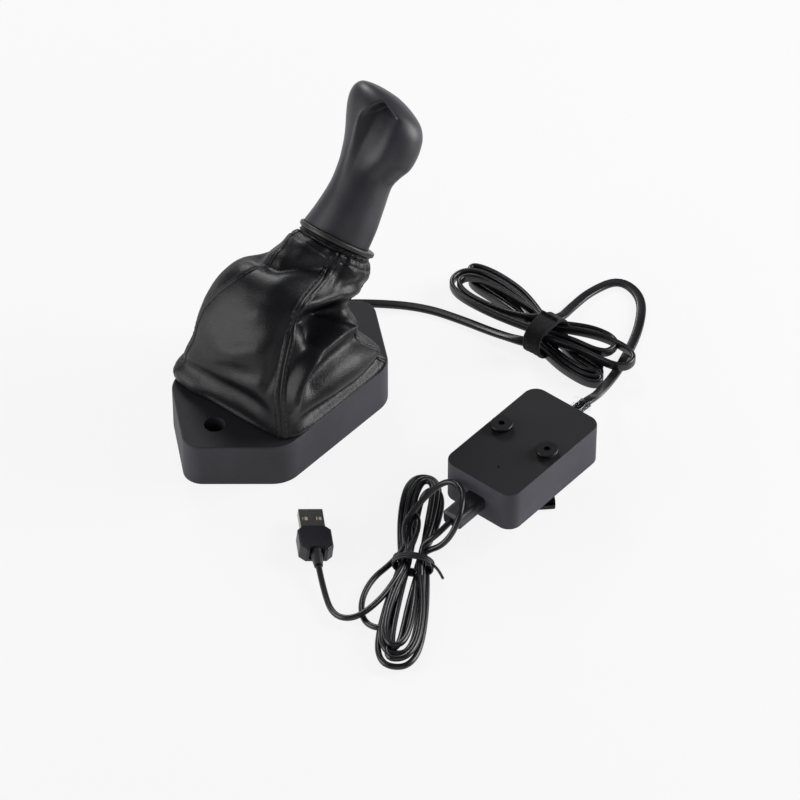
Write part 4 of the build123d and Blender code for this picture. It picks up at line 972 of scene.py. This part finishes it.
# %% Grip's sizes
# Height above the collar, sideways shift, half depth, half width (millimetres)
GRIP_SECTIONS = np.array([
    (1.35, 1.4, 17.2, 17.6), (12.0, 0.5, 16.3, 16.2), (24.0, 0.6, 15.0, 14.8), (34.0, 1.6, 14.6, 14.6),
    (40.0, 1.3, 14.8, 16.4), (45.5, 0.7, 15.2, 18.8), (51.0, 1.4, 15.6, 20.4), (57.0, 3.1, 15.8, 21.7),
    (63.0, 5.3, 15.4, 22.1), (68.0, 8.0, 14.2, 20.4), (72.0, 11.6, 11.9, 16.0), (74.6, 14.6, 8.4, 10.6),
    (75.6, 16.2, 3.6, 4.6), (75.8, 16.6, 0.3, 0.4),
])
PIVOT = np.array([-21.8, 0.0, 12.0])
COLLAR_AT = 96.4
GRIP_ROWS = 170
GRIP_COLUMNS = 200
# Scoop, as (side, height): the roof's apex and ends, and the side lines
SCOOP_APEX = (4.2, 71.5)
SCOOP_ROOF = ((11.8, 60.5), (-11.0, 66.0))
SCOOP_SIDES = (((11.8, 60.5), (8.0, 18.0)), ((-11.0, 66.0), (-15.5, 18.0)))
SCOOP_DEPTH = 6.0
SCOOP_FOOT = 14
SCOOP_TALL = 58
# How far each edge takes to reach full depth: the roof's two slopes and the two sides
SCOOP_EASE = (2.6, 1.8, 8.0, 14.0)
print("grip sections:", len(GRIP_SECTIONS))

# %% Grip


def lever_to_row(local):
    """From the lever's frame (down the lean, side, along) to the row frame."""
    down = np.array([math.cos(LEAN), 0, -math.sin(LEAN)])
    along = np.array([math.sin(LEAN), 0, math.cos(LEAN)])
    return PIVOT + local[..., :1] * down + local[..., 1:2] * np.array([0, 1, 0]) + local[..., 2:] * along


def smooth(x):
    """0 below 0, 1 above 1, smooth between."""
    x = np.clip(x, 0, 1)
    return x * x * (3 - 2 * x)


def inside(side, height, a, b):
    """Signed distance from the line through a and b."""
    run = np.array([b[0] - a[0], b[1] - a[1]])
    run = run / np.linalg.norm(run)
    return (height - a[1]) * run[0] - (side - a[0]) * run[1]


def scoop_depth(side, height):
    """Depth of the scoop at places on the front of the grip."""
    depth = SCOOP_DEPTH * smooth((height - SCOOP_FOOT) / SCOOP_TALL) ** 1.2
    depth = depth * smooth(inside(side, height, SCOOP_ROOF[0], SCOOP_APEX) / SCOOP_EASE[0])
    depth = depth * smooth(inside(side, height, SCOOP_APEX, SCOOP_ROOF[1]) / SCOOP_EASE[1])
    depth = depth * smooth(-inside(side, height, *SCOOP_SIDES[0]) / SCOOP_EASE[2])
    return depth * smooth(inside(side, height, *SCOOP_SIDES[1]) / SCOOP_EASE[3])


def add_grip():
    rows = smooth_rows(GRIP_SECTIONS, np.linspace(0, len(GRIP_SECTIONS) - 1, GRIP_ROWS))
    height, shift, depth, width = (rows[:, k][:, None] for k in range(4))
    angle = np.linspace(0, 2 * math.pi, GRIP_COLUMNS, endpoint=False)[None, :]
    x, y = np.abs(depth) * np.cos(angle), shift + np.abs(width) * np.sin(angle)
    tall = np.broadcast_to(height, x.shape)
    x = x + scoop_depth(y, tall) * smooth(-x / 6.0)
    grid = lever_to_row(np.stack([x, y, COLLAR_AT + tall], -1))
    faces = [*grid_faces(GRIP_ROWS, GRIP_COLUMNS), *ring_caps(GRIP_ROWS, GRIP_COLUMNS)]
    piece = mesh_piece("grip_moulding", grid.reshape(-1, 3) * MM, faces, GRIP_BLACK)
    for cap in list(piece.data.polygons)[-2:]:
        cap.use_smooth = False
    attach(piece, "lever")
    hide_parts("grip")
    return piece


grip_piece = add_grip()
print("grip vertices", len(grip_piece.data.vertices))

# %% [markdown]
# ## Strap
# A hook-and-loop strap is wound round the flat cord's hank, and its end lies over its start. It could be a
# bevelled curve, but its thin edges and its ripples would be missing. So it is a closed band whose centre
# line is a rounded rectangle that grows where it laps over itself.

# %% Strap's centre line
STRAP_CENTRE = (118.8, -73.4, 9.9)
STRAP_HALF = (12.0, 9.0)
STRAP_WIDTH = 10.4
STRAP_THICK = 1.2
STRAP_START = 135
STRAP_SWEEP = 415
STRAP_STEPS = 96
STRAP_LAP = 1.35
STRAP_SQUARENESS = 2.2


def strap_course():
    """Centre line of the strap round the hank: one turn, an overlap, and a lifted end."""
    course = []
    power = STRAP_SQUARENESS
    turns = np.linspace(math.radians(STRAP_START), math.radians(STRAP_START - STRAP_SWEEP), STRAP_STEPS)
    for k, turn in enumerate(turns):
        grow = STRAP_LAP * smooth((k - 70) / 12)
        c, s = math.cos(turn), math.sin(turn)
        half_width, half_height = STRAP_HALF[0] + grow, STRAP_HALF[1] + grow
        radius = ((abs(c) / half_width) ** power + (abs(s) / half_height) ** power) ** (-1 / power)
        course.append((STRAP_CENTRE[0] + radius * c, STRAP_CENTRE[2] + radius * s))
    x, z = course[-1]
    for k in range(1, 4):
        course.append((x + 0.4 * k, z + 0.5 * k))
    return np.array(course)


print("strap points:", len(strap_course()))

# %% Strap
STRAP_LANES = 15
EDGE_THIN = 0.22
STRAP_RIPPLE = 0.16


def add_strap():
    course = strap_course()
    run = np.gradient(course, axis=0)
    run /= np.linalg.norm(run, axis=1, keepdims=True)
    out = np.stack([-run[:, 1], run[:, 0]], -1)
    across = np.linspace(-1, 1, STRAP_LANES)
    rows = []
    chance = np.random.default_rng(3)
    ripple = chance.normal(0, STRAP_RIPPLE, (len(course), STRAP_LANES))
    ripple = (ripple + np.roll(ripple, 1, 0) + np.roll(ripple, -1, 0) + np.roll(ripple, 2, 0)) / 2.2
    uneven = 1 + 0.03 * np.sin(np.arange(len(course)) * 0.21)
    for side, lanes in ((1, range(STRAP_LANES)), (-1, range(STRAP_LANES - 1, -1, -1))):
        for k in lanes:
            edge = abs(across[k]) > 0.99
            lift = side * STRAP_THICK * (EDGE_THIN if edge else 0.5)
            y = STRAP_CENTRE[1] + across[k] * STRAP_WIDTH / 2 * uneven
            sway = ripple[:, k] + 0.5 * (1 - abs(across[k])) ** 0.5
            place = course + out * (lift - sway * 0.6)[:, None]
            rows.append(np.stack([place[:, 0], y, np.maximum(place[:, 1], 0.4)], -1))
    grid = np.stack(rows, 1)
    faces = [*grid_faces(len(grid), 2 * STRAP_LANES), *ring_caps(len(grid), 2 * STRAP_LANES)]
    piece = mesh_piece("hook_loop_band", grid.reshape(-1, 3) * MM, faces, STRAP)
    mesh = bmesh.new()
    mesh.from_mesh(piece.data)
    bmesh.ops.recalc_face_normals(mesh, faces=mesh.faces)
    mesh.to_mesh(piece.data)
    mesh.free()
    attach(piece, "base")
    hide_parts("hook_loop_strap")
    return piece


strap_piece = add_strap()
print("strap vertices", len(strap_piece.data.vertices))

# %% [markdown]
# ## Twist tie
# The USB hank is bound by a coated wire, wrapped more than three times and twisted off. A helix is easy to
# write as points round the hank, and a tube swept along them is quicker than bending a cylinder.

# %% Twist tie
TUBE_SIDES = 10


def sweep_tube(name, points, radius, material):
    """Round tube along points, turned without twisting."""
    points = np.array(points, float)
    run = np.gradient(points, axis=0)
    run /= np.linalg.norm(run, axis=1, keepdims=True)
    side = np.cross(run[0], (0, 0, 1.0))
    rings = []
    for place, direction in zip(points, run):
        side = side - direction * (side @ direction)
        side /= np.linalg.norm(side)
        up = np.cross(direction, side)
        rings += [place + radius * (math.cos(a) * side + math.sin(a) * up)
                  for a in np.linspace(0, 2 * math.pi, TUBE_SIDES, endpoint=False)]
    ends = [cap[::-1] for cap in ring_caps(len(points), TUBE_SIDES)]
    return mesh_piece(name, np.array(rings) * MM, [*grid_faces(len(points), TUBE_SIDES), *ends], material)


TIE_STATION = 63.2
TIE_PITCH = 1.35
TIE_CENTRE = (4.4, 6.4)
TIE_HALF = (9.6, 5.8)
TIE_START = 150
TIE_SWEEP = 1320
TIE_RADIUS = 0.7


def tie_points():
    """Wraps round the hank, then the end that stands out and bends down."""
    points = []
    for turn in np.linspace(math.radians(TIE_START), math.radians(TIE_START + TIE_SWEEP), 160):
        along = TIE_STATION + TIE_PITCH * (turn - 2.6) / (2 * math.pi) - 2.0 + 0.3 * math.cos(turn)
        side = TIE_CENTRE[0] + TIE_HALF[0] * math.cos(turn)
        points.append(hank_place(along, side, TIE_CENTRE[1] + TIE_HALF[1] * math.sin(turn)))
    for k in range(1, 15):
        points.append(hank_place(TIE_STATION + 1.6 + 0.035 * k * k, 12.2 + 0.55 * k, 9.4 - 0.2 * k))
    return points


tie_piece = sweep_tube("twist_wire", tie_points(), TIE_RADIUS, PLUG_BLACK)
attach(tie_piece, "base")
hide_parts("twist_tie")
print("tie vertices", len(tie_piece.data.vertices))

# %% [markdown]
# ## Return spring
# The coil is hidden under the hub's heel. The solid is rigid, so the heel would cut through it when the
# lever is pulled. The same helix is built instead as a swept tube with a mesh of its own, on the base.

# %% Return spring
SPRING_WIRE = 0.5
SPRING_COILS = 4
spring_low, spring_high = (np.array(corner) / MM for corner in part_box("return_spring"))
spring_foot = np.array([*(spring_low + spring_high)[:2] / 2, spring_low[2]])


def spring_points():
    radius = (spring_high[0] - spring_low[0]) / 2 - SPRING_WIRE
    rise = spring_high[2] - spring_low[2] - 2 * SPRING_WIRE
    return [spring_foot + (radius * math.cos(turn), radius * math.sin(turn),
                           SPRING_WIRE + rise * turn / (2 * math.pi * SPRING_COILS))
            for turn in np.linspace(0, 2 * math.pi * SPRING_COILS, 30 * SPRING_COILS)]


spring_piece = sweep_tube("return_spring_coil", spring_points(), SPRING_WIRE, SPRING)
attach(spring_piece, "base")
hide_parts("return_spring")
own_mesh(spring_piece)
print("spring vertices", len(spring_piece.data.vertices))

# %% [markdown]
# ## Floor and light
# The photograph has a plain white ground with faint shadows. A lit white floor would fade to grey at its
# edges, so it mostly glows towards the camera, and the rest of its shader keeps the shadow. Reflections and
# clear plastic see the same glow.

# %% Floor
FLOOR_HALF = 3
FLOOR_GLOW = 0.975
GLOW_SHARE = 0.88


def add_floor():
    mesh = bpy.data.meshes.new("floor")
    corners = [(x * FLOOR_HALF, y * FLOOR_HALF, 0) for x, y in ((-1, -1), (1, -1), (1, 1), (-1, 1))]
    mesh.from_pydata(corners, [], [(0, 1, 2, 3)])
    floor = add_object("floor", mesh)
    floor.location.z = -0.0002
    m = Material("floor", (0.80, 0.80, 0.80), 0.9, Specular_IOR_Level=0.0)
    glow = m.node("ShaderNodeEmission", Color=(1, 1, 1, 1), Strength=FLOOR_GLOW)
    shown = m.node("ShaderNodeLightPath", "Is Camera Ray")
    for ray in ("Is Glossy Ray", "Is Transmission Ray"):
        shown = shown + m.node("ShaderNodeLightPath", ray)
    mix = m.tree.nodes.new("ShaderNodeMixShader")
    lit = Socket(m.tree, m.shader.outputs[0])
    for value, target in zip((shown * GLOW_SHARE, lit, glow), mix.inputs):
        link(m.tree, value, target)
    m.tree.links.new(mix.outputs[0], m.tree.nodes["Material Output"].inputs["Surface"])
    mesh.materials.append(m.material)


add_floor()
print("floor placed")

# %% [markdown]
# Four soft boxes stand round the table: a strong one at the right, a broad one at the left, a weak one that
# opens the front walls, and one behind that draws the rims. Small lamps would give hard spots on the
# leather.

# %% Lights


def add_light(name, location, target, size, power):
    data = bpy.data.lights.new(name, "AREA")
    data.energy = power
    data.size = size
    light = add_object(name, data)
    light.location = location
    light.rotation_euler = (Vector(target) - Vector(location)).to_track_quat("-Z", "Y").to_euler()


add_light("right", (0.82, -0.72, 0.46), (0.03, -0.03, 0.05), 0.7, 14)
add_light("left", (-0.85, 0.66, 0.42), (0.02, -0.02, 0.05), 0.9, 9)
add_light("front", (-0.75, -0.80, 0.30), (0.02, -0.02, 0.05), 0.9, 1.8)
add_light("back", (0.60, 0.85, 0.75), (0.02, -0.02, 0.05), 0.4, 6)
world = bpy.data.worlds.new("world")
bpy.context.scene.world = world
world.use_nodes = True
world.node_tree.nodes["Background"].inputs["Color"].default_value = (0.95, 0.96, 1.0, 1)
world.node_tree.nodes["Background"].inputs["Strength"].default_value = 0.12
bpy.context.scene.view_settings.view_transform = "Standard"
print("lights:", len(bpy.data.lights))
